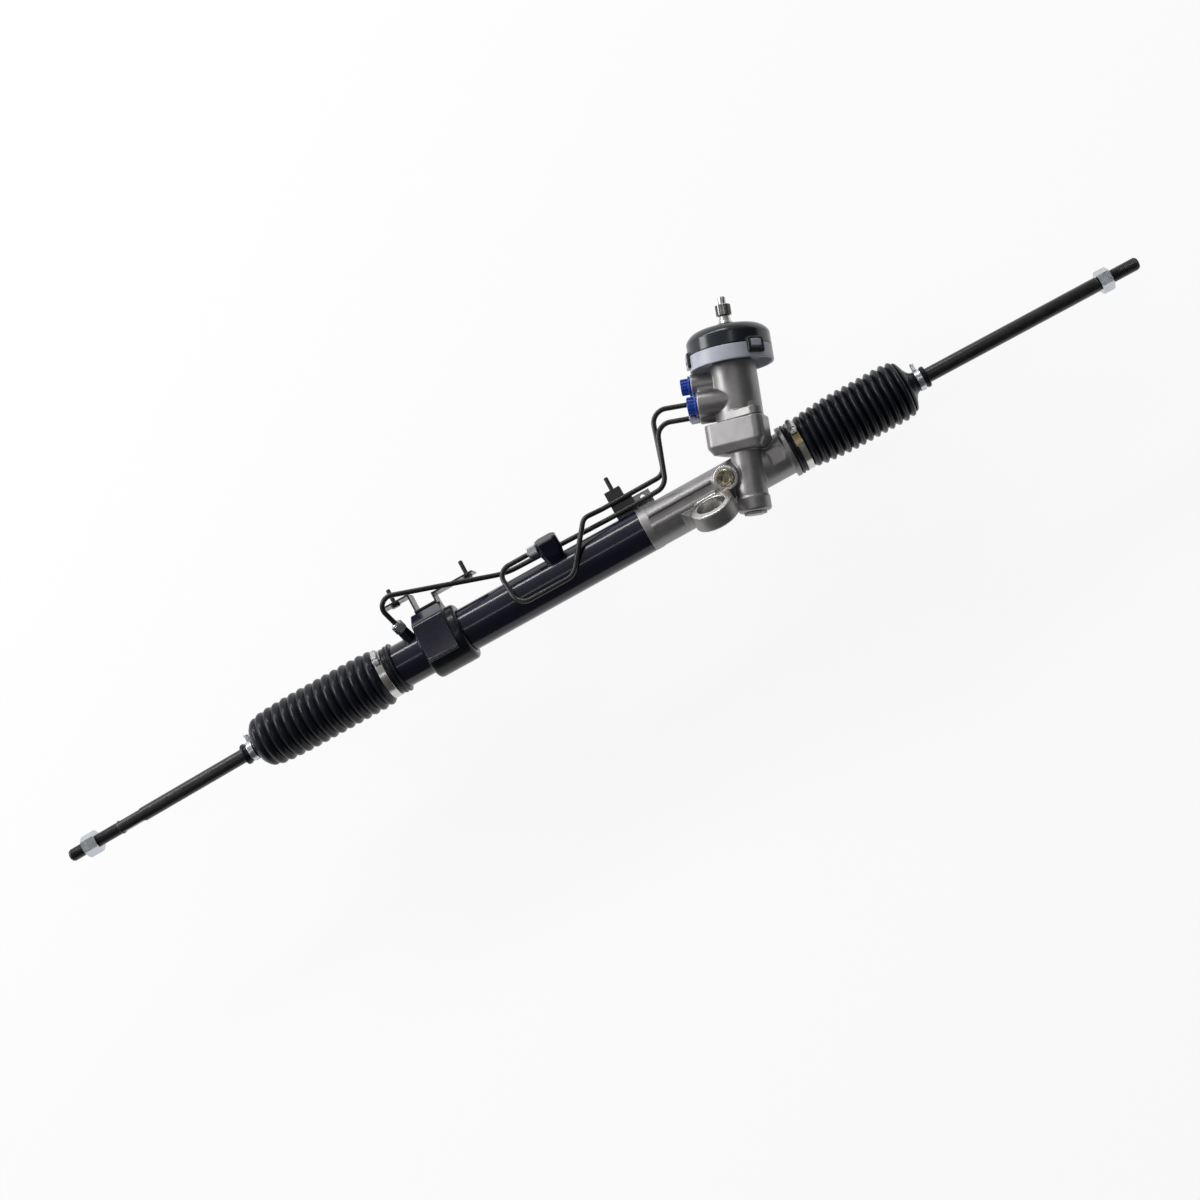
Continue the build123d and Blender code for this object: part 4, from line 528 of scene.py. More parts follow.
def barsTree():  # small bars spaced round an arc: grips, serrations and worm ridges
    tree, given = newTree("barsRound", {
        "Count": 12, "Radius": 0.01, "Arc": 6.2832, "Slant": 0.0, "Bar": (0.001, 0.001, 0.01)})
    share = mathNode(tree, "DIVIDE", addNode(tree, "GeometryNodeInputIndex"), given["Count"])
    turn = mathNode(tree, "MULTIPLY", share, given["Arc"])
    place = addNode(tree, "ShaderNodeCombineXYZ", {
        axis: mathNode(tree, "MULTIPLY", mathNode(tree, operation, turn), given["Radius"])
        for axis, operation in (("X", "COSINE"), ("Y", "SINE"))})
    slope = addNode(tree, "ShaderNodeCombineXYZ", {"X": given["Slant"], "Z": turn})
    row = addNode(tree, "GeometryNodeMeshLine", {"Count": given["Count"]})
    spread = addNode(tree, "GeometryNodeSetPosition", {"Geometry": row, "Position": place})
    bar = addNode(tree, "GeometryNodeMeshCube", {"Size": given["Bar"]})
    copies = addNode(tree, "GeometryNodeInstanceOnPoints", {
        "Points": spread, "Instance": bar, "Rotation": slope})
    return endTree(tree, given, copies)


thread = threadTree()
bars = barsTree()
print("trees ready")

# Castings and mouldings: each CAD solid drawn again as one skin, so that its joints and edges are rounded
skins = {
    "rack_housing": {"piece": "rackCasting", "voxel": 0.8, "rounds": 6, "mat": castAluminium,
                     "slot": "cast_aluminium"},
    "valve_housing": {"piece": "valveCasting", "voxel": 0.7, "rounds": 6, "mat": castAluminium,
                      "slot": "cast_aluminium"},
    "dust_cap": {"piece": "capMoulding", "voxel": 0.7, "rounds": 3, "mat": capRubber, "slot": "black_rubber"},
    "cap_ring": {"piece": "ringMoulding", "voxel": 0.7, "rounds": 2, "mat": palePlastic,
                 "slot": "pale_plastic"},
    "middle_port": {"piece": "middlePortBlock", "voxel": 0.5, "rounds": 4, "mat": glossPaint,
                    "slot": "black_paint"},
    "saddle_bush": {"piece": "saddleRubber", "voxel": 0.8, "rounds": 3, "mat": bushRubber,
                    "slot": "black_rubber"},
}


def makeSkin(node):
    skin = skins[node]
    bm = bmesh.new()
    bm.from_mesh(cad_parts[node].data)
    obj = fromBmesh(skin["piece"], bm, skin["mat"])
    remesh = obj.modifiers.new("skin", "REMESH")
    remesh.mode = "VOXEL"
    remesh.voxel_size = skin["voxel"] / 1000
    remesh.use_smooth_shade = True
    smooth = obj.modifiers.new("soften", "SMOOTH")
    smooth.factor = 0.5
    smooth.iterations = skin["rounds"]
    flatten(obj)
    obj.data.materials.clear()
    obj.data.materials.append(skin["mat"])
    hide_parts(node)
    onBody("housing", skin["slot"], obj)
    return obj


skinned = {node: makeSkin(node) for node in skins}
print("skins:", {node: len(obj.data.polygons) for node, obj in skinned.items()})

# Machined faces on the castings: both sides of the ear, its bore, the port faces and the boss face
cuts = {"earX": -57.5, "earOut": 45.0, "earHalf": 9.5, "earUnder": 0.9, "earOver": 0.6, "earFace": 23.2,
        "earBore": 16.2, "bossPlace": (-30.7, 3.7, 30.0), "bossLean": 14.0, "bossDrop": 10.0, "bossFace": 13.2,
        "facing": 0.8}
portFaces = [{"t": 98.4, "front": 0.0, "r": 12.0, "face": 46.0},
             {"t": 76.0, "front": 10.0, "r": 13.0, "face": 42.0},
             {"t": 65.6, "front": -3.0, "r": 8.5, "face": 42.0}]
bossWay = Vector((-math.sin(math.radians(cuts["bossLean"])), -math.sin(math.radians(cuts["bossDrop"])),
                  math.cos(math.radians(cuts["bossLean"])))).normalized()
bossTurn = standOn(spot(*cuts["bossPlace"]), bossWay, (0, 1, 0))
earTurn = standOn(carPoint(cuts["earX"], 0, cuts["earOut"]), carUp, (1, 0, 0))


def onEar(p, n):
    across = math.hypot(p.x, p.y)
    onSide = cuts["earHalf"] - cuts["earUnder"] < abs(p.z) < cuts["earHalf"] + cuts["earOver"]
    return across < cuts["earFace"] and (onSide or across < cuts["earBore"])


def onDisc(face, radius, near):
    return lambda p, n: abs(p.z - face) < near and n.z > cuts["facing"] and math.hypot(p.x, p.y) < radius


def machine(obj, tests):  # gives the faces that pass a test the machined finish
    obj.data.materials.append(machinedAluminium)
    for matrix, test in tests:
        inverse = matrix.inverted()
        turn = inverse.to_3x3()
        for face in obj.data.polygons:
            if test(inverse @ face.center * 1000, turn @ face.normal):
                face.material_index = 1


machine(skinned["rack_housing"], [(earTurn, onEar), (bossTurn, onDisc(0, cuts["bossFace"], 0.8))])
machine(skinned["valve_housing"], [(standOn(towerPoint(port["t"], 0, port["front"]), towerSide),
                                    onDisc(port["face"], port["r"], 0.7)) for port in portFaces])

# Pressed, painted and moulded parts that only need their edges rounded
rounded = {
    "saddle_bracket": {"piece": "saddleStrap", "width": 0.9, "mat": glossPaint, "slot": "black_paint"},
    "end_port": {"piece": "endPortBoss", "width": 0.8, "mat": glossPaint, "slot": "black_paint"},
    "stud_strip": {"piece": "studStripSheet", "width": 0.5, "mat": stripPaint, "slot": "zinc_steel"},
    "clamp_plate": {"piece": "clampPlateSheet", "width": 0.4, "mat": greySteel, "slot": "zinc_steel"},
    "pipe_clamp": {"piece": "pipeClampBlock", "width": 0.7, "mat": blackPlastic, "slot": "grey_plastic"},
    "lower_cap": {"piece": "lowerCapHead", "width": 0.6, "mat": castAluminium, "slot": "cast_aluminium"},
    "yoke_plug": {"piece": "yokePlugHead", "width": 0.5, "mat": brightSteel, "slot": "bright_steel"},
}
edgeShape = {"weld": 2e-6, "flat": 0.8, "sharp": 38.0}


def makeRounded(node):  # the CAD solid again, with its edges rounded
    part = rounded[node]
    bm = bmesh.new()
    bm.from_mesh(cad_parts[node].data)
    bmesh.ops.remove_doubles(bm, verts=bm.verts, dist=edgeShape["weld"])
    bmesh.ops.dissolve_limit(bm, angle_limit=math.radians(edgeShape["flat"]), verts=bm.verts, edges=bm.edges)
    obj = fromBmesh(part["piece"], bm, part["mat"], edgeShape["sharp"])
    roundOff(obj, part["width"], edgeShape["sharp"])
    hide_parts(node)
    onBody("housing", part["slot"], obj)


for node in rounded:
    makeRounded(node)
print("edges rounded on", len(rounded), "parts")

# Ball joints: way is 1 on the left, and droop is how far the rod's line leans down from the rack's axis
balls = {"left": {"x": -537.8, "way": 1, "droop": 1.25}, "right": {"x": 132.8, "way": -1, "droop": 0.75}}


def rodAxis(side):
    droop = math.radians(balls[side]["droop"])
    return Vector((-balls[side]["way"] * math.cos(droop), -math.sin(droop), 0))


def rodMatrix(side):
    return standOn(spot(balls[side]["x"]), rodAxis(side))


# Bellows boots: cuff on the housing, folds, and a neck that leans over to the tie rod's line
boots = {
    "left": {"small": -625.5, "end": -606.0, "foldsEnd": -450.4, "cuffEnd": -430.0, "folds": 15, "endFolds": 3,
             "depth": 3.3, "outline": [(0.0, 0.93), (0.03, 0.97), (0.12, 1.0), (0.60, 1.0), (0.74, 0.985),
                                       (0.86, 0.955), (0.93, 0.91), (0.97, 0.83), (1.0, 0.70)],
             "cone": [(0.7, 20.6), (1.7, 17.2), (2.3, 13.6), (2.7, 11.3), (4.2, 10.5)]},
    "right": {"small": 202.5, "end": 176.8, "foldsEnd": 57.9, "cuffEnd": 43.3, "folds": 14, "endFolds": 2,
              "depth": 4.3, "outline": [(0.0, 0.85), (0.08, 0.92), (0.17, 0.95), (0.27, 0.98), (0.40, 1.0),
                                        (0.84, 1.0), (0.92, 0.985), (0.965, 0.955), (1.0, 0.90)],
              "cone": [(1.9, 27.0), (3.9, 22.6), (6.0, 17.6), (8.2, 13.7), (10.4, 11.5), (12.6, 10.5)]},
}
bootShape = {"crest": 32.4, "wall": 1.6, "seat": 24.0, "cuffWall": 2.5, "neckOuter": 10.5, "neckInner": 8.1,
             "sharpness": 0.95, "stepsPerFold": 14, "sides": 96, "rootDip": 0.8, "rimDip": 0.25,
             "coneWall": 0.6,
             # (outwards, along from the end) of the beads on the cuff and on the neck
             "cuffBeads": [(0, 7.6), (1.0, 7.0), (1.3, 6.0), (0.9, 5.0), (0, 4.2), (0, 3.4), (1.3, 2.6),
                           (1.8, 1.4), (1.2, 0.3), (0, 0)],
             "neckBead": [(0, -4.2), (1.2, -3.2), (1.2, -0.8), (0.5, 0)]}


def makeCuff(side, base):
    b = boots[side]
    seat = bootShape["seat"] + 0.05
    outer = bootShape["seat"] + bootShape["cuffWall"]
    root = bootShape["crest"] * b["outline"][0][1] - b["depth"] * bootShape["rootDip"]
    length = abs(b["cuffEnd"] - b["foldsEnd"])
    profile = [(root - 1.6, 0.8), (root, 0.6), (root - 0.2, 0), (outer + 0.2, -0.4), (outer, -0.6)]
    profile += [(outer + out, along - length) for out, along in bootShape["cuffBeads"]]
    profile += [(seat, -length), (seat, -0.2)]
    bm = bmesh.new()
    addTurned(bm, profile, base, bootShape["sides"], True)
    return fromBmesh(f"bootCuff_{side}", bm, bellowsRubber, 50.0)


def makeNeck(side, base, whole, away):  # the cone and neck, which lean over to the rod's own line
    b = boots[side]
    wall, neck, hole = bootShape["wall"], bootShape["neckOuter"], bootShape["neckInner"]
    end = whole + abs(b["small"] - b["end"])
    rim = bootShape["crest"] * b["outline"][-1][1] - b["depth"] * bootShape["rimDip"]
    coneEnd = b["cone"][-1][0]
    profile = [(rim - 1.4, whole - 0.5), (rim + 0.1, whole - 0.05)] + [(r, whole + h) for h, r in b["cone"]]
    profile += [(neck + out, end + along) for out, along in bootShape["neckBead"]]
    profile += [(hole, end), (hole, whole + coneEnd)]
    inside = reversed(b["cone"][:-1])
    profile += [(max(hole, r - wall), whole + h - wall * bootShape["coneWall"]) for h, r in inside]
    bm = bmesh.new()
    addTurned(bm, profile, base, bootShape["sides"], True)
    axis = rodAxis(side)
    ball = spot(balls[side]["x"])
    for vert in bm.verts:
        along = (vert.co - base.translation).dot(away) * 1000
        share = min(1.0, max(0.0, (along - whole) / coneEnd))
        vert.co.y += share * (vert.co - ball).dot(away) * axis.y / abs(axis.x)
    return fromBmesh(f"bootNeck_{side}", bm, bellowsRubber, 50.0)


def makeBoot(side):
    b = boots[side]
    away = Vector((-balls[side]["way"], 0, 0))  # from the housing outwards
    whole = abs(b["end"] - b["foldsEnd"])
    pitch = whole / b["folds"]
    split = whole - b["endFolds"] * pitch
    base = standOn(spot(b["foldsEnd"]), away)
    tree = bellowsTree(f"bellows_{side}", b["outline"])
    parts = []
    for name, start, stop in (("bellows", 0.0, split), ("bellowsEnd", split, whole)):
        part = grow(f"{name}_{side}", tree, {
            "Start": start / 1000, "End": stop / 1000, "Whole": whole / 1000, "Folds": float(b["folds"]),
            "Crest": bootShape["crest"] / 1000, "Depth": b["depth"] / 1000, "Sharpness": bootShape["sharpness"],
            "Steps": round((stop - start) / pitch) * bootShape["stepsPerFold"] + 1,
            "Sides": bootShape["sides"]}, base, bellowsRubber, 60.0)
        thicken = part.modifiers.new("wall", "SOLIDIFY")
        thicken.thickness = bootShape["wall"] / 1000
        thicken.offset = -1
        parts.append(flatten(part))
    body, end = parts
    cuff = makeCuff(side, base)
    neck = makeNeck(side, base, whole, away)
    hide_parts(f"boot_{side}")
    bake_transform(body)
    for piece in (end, neck):
        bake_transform(piece)
    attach(cuff, "housing")


for side in boots:
    makeBoot(side)
print("boots made")

# Tie rods with rolled threads, and their jam nuts
rods = {
    "left": {"thread": 64.0, "nutFromTip": 20.0, "nutLength": 17.0, "flats": True},
    "right": {"thread": 46.0, "nutFromTip": 32.0, "nutLength": 13.0, "flats": False},
}
rodShape = {"tip": 312.0, "radius": 7.8, "threadOuter": 7.0, "pitch": 1.5, "depth": 0.55, "ball": 14.0,
            "ballSteps": 16, "neck": 6.6, "neckEnd": 20, "flare": (7.1, 27), "shoulder": 34.0,
            "flatLength": 29.0, "flatHalf": 6.2, "flatRamp": 1.2, "flatCuts": 30, "nutFlats": 22.0,
            "point": [(6.3, -4), (6.5, -3), (6.0, -1.4), (4.6, -0.4), (3.2, 0)]}


def pressFlats(bm, matrix, begin):  # two wrench flats just short of the thread
    inverse = matrix.inverted()
    turn = inverse.to_3x3()
    radius, length, half = rodShape["radius"], rodShape["flatLength"], rodShape["flatHalf"]
    near = {v for v in bm.verts if begin - length - 2.1 < (inverse @ v.co).z * 1000 < begin - 1.9}
    lines = [e for e in bm.edges if near.issuperset(e.verts)
             and abs((turn @ (e.verts[0].co - e.verts[1].co)).z) > 0.001]
    bmesh.ops.subdivide_edges(bm, edges=lines, cuts=rodShape["flatCuts"], use_grid_fill=True)
    for v in bm.verts:
        local = inverse @ v.co
        fromEnds = min(local.z * 1000 - (begin - length - 1), begin - 2.2 - local.z * 1000)
        depth = min(fromEnds / rodShape["flatRamp"], 1.0)
        if depth > 0:
            limit = (half + (1 - depth) * (radius - half)) / 1000
            local.y = max(-limit, min(limit, local.y))
            v.co = matrix @ local


def makeRod(side):
    rod = rods[side]
    matrix = rodMatrix(side)
    tip, radius, outer = rodShape["tip"], rodShape["radius"], rodShape["threadOuter"]
    ball, neck, shoulder = rodShape["ball"], rodShape["neck"], rodShape["shoulder"]
    begin = tip - rod["thread"]
    profile = [(0, -ball)]
    stop = math.degrees(math.asin(neck / ball))
    for k in range(1, rodShape["ballSteps"] + 1):
        a = math.radians(180 - (180 - stop) * k / rodShape["ballSteps"])
        profile.append((ball * math.sin(a), ball * math.cos(a)))
    profile += [(neck, rodShape["neckEnd"]), rodShape["flare"],
                (radius - 0.2, shoulder - 1), (radius, shoulder + 1)]
    if rod["flats"]:
        profile += [(radius, begin - rodShape["flatLength"] - 2), (radius, begin - 2)]
    profile += [(radius, begin - 1.2), (radius - 0.3, begin - 0.4), (outer - 0.7, begin + 0.8), (0, begin + 1)]
    bm = bmesh.new()
    addTurned(bm, profile, matrix)
    if rod["flats"]:
        pressFlats(bm, matrix, begin)
    bar = fromBmesh(f"tieRod_{side}", bm, satinPaint, 38.0)
    screw = grow(f"rodThread_{side}", thread, {
        "Length": (rod["thread"] - 3.4) / 1000, "Pitch": rodShape["pitch"] / 1000, "Outer": outer / 1000,
        "Depth": rodShape["depth"] / 1000}, matrix @ lift(begin + 0.6), satinPaint, 25.0)
    bm = bmesh.new()
    point = [(r, tip + along) for r, along in rodShape["point"]]
    addTurned(bm, [(0, point[0][1])] + point + [(0, tip)], matrix, 48)
    end = fromBmesh(f"rodTip_{side}", bm, satinPaint)
    bm = bmesh.new()
    addHex(bm, matrix, rodShape["nutFlats"], rod["nutLength"], outer - 0.1, 0.5,
           tip - rod["nutFromTip"] - rod["nutLength"])
    nut = fromBmesh(f"jamNut_{side}", bm, zincPlate, 28.0)
    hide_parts(f"tie_rod_{side}")
    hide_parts(f"jam_nut_{side}")
    onBody(f"tie_rod_{side}", "black_rod", bar, screw, end)
    onBody(f"tie_rod_{side}", None, nut)


for side in rods:
    makeRod(side)
print("tie rods made")

# Worm-screw band clamps on the big ends of the boots
clamps = {
    "left": {"x": -445.4, "tail": bandSteel},
    "right": {"x": 53.0, "tail": goldBand},
}
clampShape = {"play": 0.1, "thickness": 0.8, "width": 8.6, "edge": 0.2, "screwTurn": 40.0, "tailFrom": -48.0,
              "tailTo": 20.0, "tailThick": 0.7, "houseLength": 12.5, "houseRise": 0.6, "screwRise": 3.1,
              "screwR": 2.9, "collar": 1.3, "headFlats": 6.6, "headLength": 4.2, "headHole": 0.6, "core": 0.7,
              "ridges": 14, "ridgeFrom": -16.0, "ridgeArc": 30.0, "ridgeSlant": 0.22,
              "ridge": (0.0007, 0.0008, 0.0056)}
houseOutline = [(-5.0, -0.3), (-5.0, 1.5), (-3.7, 2.1), (-3.5, 4.3), (-2.4, 5.7), (0, 6.2), (2.4, 5.7),
                (3.5, 4.3), (3.7, 2.1), (5.0, 1.5), (5.0, -0.3)]


def makeClamp(side):
    clamp = clamps[side]
    inner = bootShape["seat"] + bootShape["cuffWall"] + clampShape["play"]
    outer = inner + clampShape["thickness"]
    half, edge = clampShape["width"] / 2, clampShape["edge"]
    around = standOn(spot(clamp["x"]), (1, 0, 0))  # local x to the front, local y to -Y
    turn = -clampShape["screwTurn"]
    bm = bmesh.new()
    addTurned(bm, [(inner, -half), (outer - edge, -half), (outer, -half + edge), (outer, half - edge),
                   (outer - edge, half), (inner, half)], around, 128, True)
    band = fromBmesh(f"clampBand_{side}", bm, bandSteel, 40.0)
    bm = bmesh.new()
    addStrip(bm, around, outer, outer + clampShape["tailThick"], half - 0.3, turn - clampShape["tailTo"],
             turn - clampShape["tailFrom"], 72)
    tail = fromBmesh(f"clampTail_{side}", bm, clamp["tail"], 40.0)
    ridges = grow(f"clampRidges_{side}", bars, {
        "Count": clampShape["ridges"], "Radius": (outer + clampShape["tailThick"] + 0.05) / 1000,
        "Arc": math.radians(clampShape["ridgeArc"]), "Slant": clampShape["ridgeSlant"],
        "Bar": clampShape["ridge"]},
        around @ Matrix.Rotation(math.radians(turn - clampShape["ridgeFrom"]), 4, "Z"), clamp["tail"])
    a = math.radians(clampShape["screwTurn"])
    outwards = Vector((0, math.sin(a), math.cos(a)))
    along = Vector((0, math.cos(a), -math.sin(a)))
    base = Matrix.Translation(spot(clamp["x"]) + outwards * (outer + clampShape["houseRise"]) / 1000)
    house = base @ Matrix((Vector((1, 0, 0)), outwards, -along)).transposed().to_4x4()
    end = clampShape["houseLength"] / 2
    bm = bmesh.new()
    addPrism(bm, houseOutline, house, -end, end)
    cover = roundOff(fromBmesh(f"clampHouse_{side}", bm, bandSteel, 30.0), 0.45)
    line = house @ Matrix.Translation((0, clampShape["screwRise"] / 1000, 0))
    r, rim, core = clampShape["screwR"], clampShape["screwR"] + clampShape["collar"], clampShape["core"]
    bm = bmesh.new()
    addTurned(bm, [(0, -end - 1.6), (r - 0.8, -end - 1.6), (r - 0.2, -end - 1.0), (r - 0.2, end), (0, end)],
              line, 32)
    addHex(bm, line, clampShape["headFlats"], clampShape["headLength"], clampShape["headHole"], 0.6, end + 0.2)
    addTurned(bm, [(0, end), (rim, end), (rim, end + 0.9), (0, end + 0.9)], line, 32)
    addTurned(bm, [(0, end + 1), (core, end + 1), (core, end + 3.4), (0, end + 3.4)], line, 16)
    screw = fromBmesh(f"clampScrew_{side}", bm, zincPlate, 28.0)
    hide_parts(f"clamp_{side}")
    onBody("housing", "zinc_steel", band, tail, ridges, cover, screw)


for side in clamps:
    makeClamp(side)
print("band clamps made")

# Spring clips on the small ends: an open ring, and two ears that bend outwards at their tips
clips = {"left": {"fromBall": 73.4}, "right": {"fromBall": 57.8}}
clipShape = {"inner": 10.6, "outer": 11.5, "width": 6.4, "opening": 10, "earWidth": 3.6, "earRoot": 10.3,
             "earOut": 18.2, "earGap": 1.5, "earThick": 1.1}


def makeClip(side):
    middle = rodMatrix(side) @ lift(clips[side]["fromBall"] + clipShape["width"] / 2)
    up = balls[side]["way"]
    bm = bmesh.new()
    half = 180 - clipShape["opening"]
    addStrip(bm, middle, clipShape["inner"], clipShape["outer"], clipShape["width"] / 2, up * 90 - half,
             up * 90 + half, 96)
    root, out, wide = clipShape["earRoot"], clipShape["earOut"], clipShape["earWidth"] / 2
    for way in (-1, 1):
        x, thick = way * clipShape["earGap"], way * clipShape["earThick"]
        addPrism(bm, [(x, up * root), (x, up * out), (x + thick * 2.4, up * (out + 0.9)),
                      (x + thick * 2.8, up * out), (x + thick, up * (out - 1.4)), (x + thick, up * root)],
                 middle, -wide, wide)
    clip = roundOff(fromBmesh(f"smallClip_{side}", bm, zincPlate, 30.0), 0.2)
    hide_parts(f"small_clip_{side}")
    onBody(f"tie_rod_{side}", "zinc_steel", clip)


for side in clips:
    makeClip(side)
print("small clips made")

# Shipping plugs: flange, ribbed barrel and a recess with a cross wall
plugs = {
    "pressure_plug": {"piece": "plugLower", "t": 76.0, "front": 10.0, "face": 42.0, "wide": 1.18},
    "return_plug": {"piece": "plugUpper", "t": 98.4, "front": 0.0, "face": 46.0, "wide": 1.08},
}
plugShape = {"flange": 10.0, "flangeThick": 2.2, "barrel": 7.2, "height": 10.4, "recess": 5.0, "floor": 2.6,
             "wall": 0.9, "wallDrop": 1.4, "ribs": 14, "rib": 0.0013, "ribOut": 0.25, "stem": 7.4, "reach": 9.8}


def makePlug(node):
    plug = plugs[node]
    base = standOn(towerPoint(plug["t"], plug["face"], plug["front"]), towerSide)
    flange, barrel, recess = (plugShape[size] * plug["wide"] for size in ("flange", "barrel", "recess"))
    thick, top, floor = plugShape["flangeThick"], plugShape["height"], plugShape["floor"]
    stem, foot = plugShape["stem"], -plugShape["reach"]
    bm = bmesh.new()
    addTurned(bm, [(0, foot), (stem - 0.6, foot), (stem, foot + 0.8), (stem, 0.05), (flange - 0.3, 0.05),
                   (flange, 0.35), (flange, thick - 0.4), (flange - 0.5, thick), (barrel + 0.5, thick),
                   (barrel, thick + 0.6), (barrel - 0.15, top - 0.6), (barrel - 0.6, top), (recess + 0.3, top),
                   (recess, top - 0.4), (recess - 0.2, floor), (0, floor)], base)
    inner, wall = recess - 0.1, plugShape["wall"]
    for x, y in ((inner, wall), (wall, inner)):
        addPrism(bm, [(-x, -y), (x, -y), (x, y), (-x, y)], base, floor, top - plugShape["wallDrop"])
    body = fromBmesh(plug["piece"], bm, bluePlastic)
    ribs = grow(plug["piece"] + "Ribs", bars, {
        "Count": plugShape["ribs"], "Radius": (barrel + plugShape["ribOut"]) / 1000, "Arc": 2 * math.pi,
        "Slant": 0.0, "Bar": (plugShape["rib"], plugShape["rib"], (top - thick - 0.8) / 1000)},
        base @ lift((top + thick) / 2), bluePlastic)
    roundOff(ribs, 0.3)
    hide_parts(node)
    onBody("housing", "blue_plastic", body, ribs)


for node in plugs:
    makePlug(node)
print("plugs made")

# Flare nuts on the pipes
endLean = math.radians(11)
endWay = Vector((-math.sin(endLean), math.cos(endLean) * math.cos(tilt), math.cos(endLean) * math.sin(tilt)))
nutShape = {"flats": 11.95, "length": 11.0, "hole": 2.8, "collar": 4.6, "collarLength": 1.6}
flareNuts = {
    "pipe_nut_upper": {"origin": towerPoint(82.0, 42.02, -12.0), "way": towerSide, "turn": 0.2},
    "pipe_nut_lower": {"origin": towerPoint(65.6, 42.02, -3.0), "way": towerSide, "turn": 0.1},
    "pipe_nut_middle": {"origin": carPoint(-239.52, 41.2, 0), "way": (-1, 0, 0), "turn": 0.15},
    "pipe_nut_end": {"origin": carPoint(-404.0, 21.0, 0) + endWay * 0.01502, "way": endWay, "turn": 0.3},
}


def makeFlareNut(node):
    nut = flareNuts[node]
    base = standOn(nut["origin"], nut["way"])
    hole, collar, top = nutShape["hole"], nutShape["collar"], nutShape["length"]
    low = top - nutShape["collarLength"]
    bm = bmesh.new()
    addHex(bm, base, nutShape["flats"], low, hole, 0.5, 0.0, nut["turn"])
    addTurned(bm, [(hole, low - 0.2), (collar, low - 0.2), (collar, top - 0.5), (collar - 0.5, top),
                   (hole, top)], base, 48, True)
    obj = fromBmesh(node.replace("_", "") + "Hex", bm, zincPlate, 28.0)
    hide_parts(node)
    onBody("housing", "zinc_steel", obj)


for node in flareNuts:
    makeFlareNut(node)
print("flare nuts made")

# Flange bolts: shank, washer face and hexagon head with a shallow dish
bolts = {"places": ((-14.5, 28.0), (14.5, -28.0)), "seat": 62.0, "shank": 2.95, "foot": 25.0, "flats": 9.2,
         "head": 5.0, "washer": 5.6, "washerThick": 0.7, "dish": 2.6}


def makeBolts():
    seat, foot, shank, dish = bolts["seat"], bolts["foot"], bolts["shank"], bolts["dish"]
    rim, under, top = bolts["washer"], bolts["seat"] + bolts["washerThick"], bolts["seat"] + bolts["head"]
    bm = bmesh.new()
    for left, front in bolts["places"]:
        base = standOn(towerPoint(0, left, front), towerUp)
        addTurned(bm, [(0, foot), (shank - 0.4, foot), (shank, foot + 0.4), (shank, seat), (0, seat)], base, 32)
        addTurned(bm, [(0, seat), (rim, seat), (rim, under), (0, under)], base, 48)
        addHex(bm, base, bolts["flats"], bolts["head"] - 0.6, dish, 0.8, seat + 0.6)
        addTurned(bm, [(0, top - 1.0), (dish, top - 1.0), (dish, top - 1.4), (0, top - 1.4)], base, 32)
    obj = fromBmesh("flangeBolts", bm, darkSteel, 28.0)
    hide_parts("valve_bolts")
    onBody("housing", "zinc_steel", obj)


makeBolts()

# Plug in the front boss: sealing washer and a head with a hexagon socket
bossPlug = {"washer": 10.6, "washerThick": 1.1, "head": 9.5, "height": 2.9, "socket": 8.6, "depth": 4.2,
            "stem": 6.95, "reach": 8.9, "steps": 96}


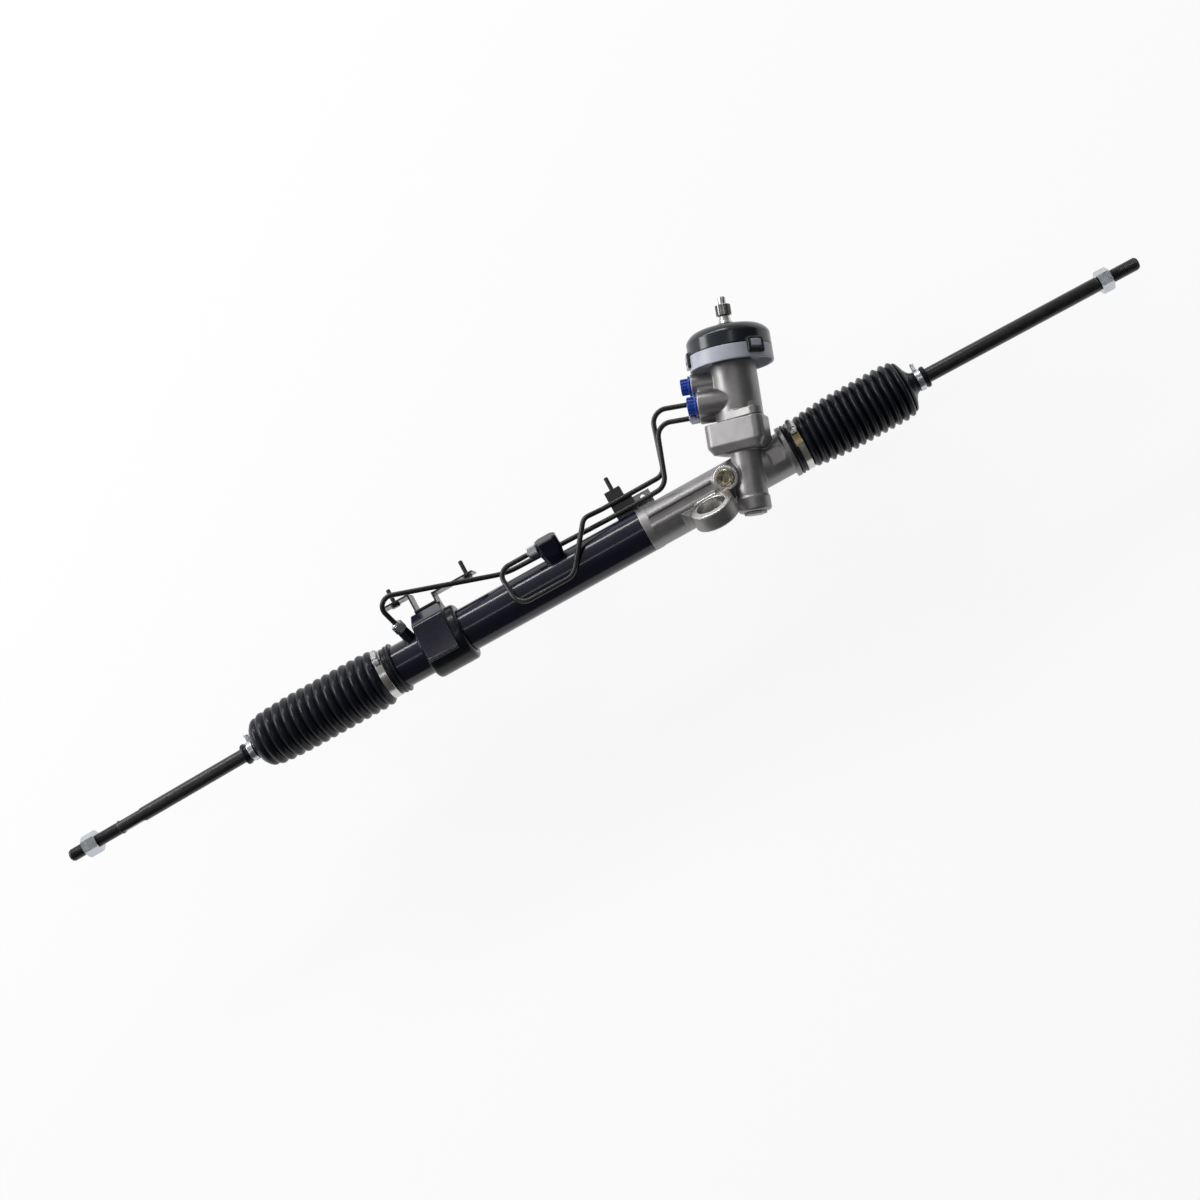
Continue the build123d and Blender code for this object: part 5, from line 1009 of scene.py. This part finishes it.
def makeBossPlug():
    stem, head, top, steps = bossPlug["stem"], bossPlug["head"], bossPlug["height"], bossPlug["steps"]
    socket, rim, thick = bossPlug["socket"] / 2, bossPlug["washer"], bossPlug["washerThick"]
    angles = [2 * math.pi * k / steps for k in range(steps)]
    bm = bmesh.new()
    rings = [[bm.verts.new(bossTurn @ polar(radius, a, height)) for a in angles]
             for radius, height in ((stem, -bossPlug["reach"]), (stem, 0.1), (head, 0.1), (head, top - 0.7),
                                    (head - 0.7, top), (socket + 1.1, top))]
    rings += [[bm.verts.new(bossTurn @ polar(hexRadius(socket, a), a, height)) for a in angles]
              for height in (top - 0.5, top - bossPlug["depth"])]
    for low, high in zip(rings, rings[1:]):
        bridge(bm, low, high)
    bm.faces.new(rings[0])
    bm.faces.new(rings[-1])
    plug = fromBmesh("bossPlugHead", bm, brassPlug, 30.0)
    bm = bmesh.new()
    addTurned(bm, [(stem, 0.05), (rim, 0.05), (rim + 0.2, 0.4), (rim, thick), (head - 0.2, thick), (stem, 0.4)],
              bossTurn, steps, True)
    washer = fromBmesh("bossWasher", bm, bandSteel)
    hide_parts("housing_plug")
    onBody("housing", "brass", plug, washer)


makeBossPlug()
print("bolts and boss plug made")

# Serrated band of the input shaft
serration = {"teeth": 32, "radius": 7.65, "bottom": 166.2, "top": 176.8, "tooth": (0.0009, 0.0008)}
teeth = grow("inputSerration", bars, {
    "Count": serration["teeth"], "Radius": serration["radius"] / 1000, "Arc": 2 * math.pi, "Slant": 0.0,
    "Bar": (*serration["tooth"], (serration["top"] - serration["bottom"]) / 1000)},
    standOn(towerPoint((serration["top"] + serration["bottom"]) / 2), towerUp), darkSteel)
onBody("input_shaft", "bright_steel", teeth)

# Threads on the three studs
studs = {
    "leftStud": {"origin": spot(-406.0, 65.0, -11.0), "length": 16.5},
    "rightStud": {"origin": spot(-322.0, 54.0, -11.0), "length": 16.5},
    "pipeStud": {"origin": spot(-141.5, 55.5, -4.0), "length": 15.5},
}
studShape = {"outer": 2.45, "pitch": 0.8, "depth": 0.32, "plain": 2.0, "tip": 0.8}
for name, stud in studs.items():
    screw = grow(name + "Thread", thread, {
        "Length": (stud["length"] - studShape["plain"] - studShape["tip"]) / 1000,
        "Pitch": studShape["pitch"] / 1000, "Outer": studShape["outer"] / 1000,
        "Depth": studShape["depth"] / 1000},
        standOn(stud["origin"], (0, 1, 0)) @ lift(studShape["plain"]), stripPaint, 25.0)
    onBody("housing", "zinc_steel", screw)
print("serration and threads made")
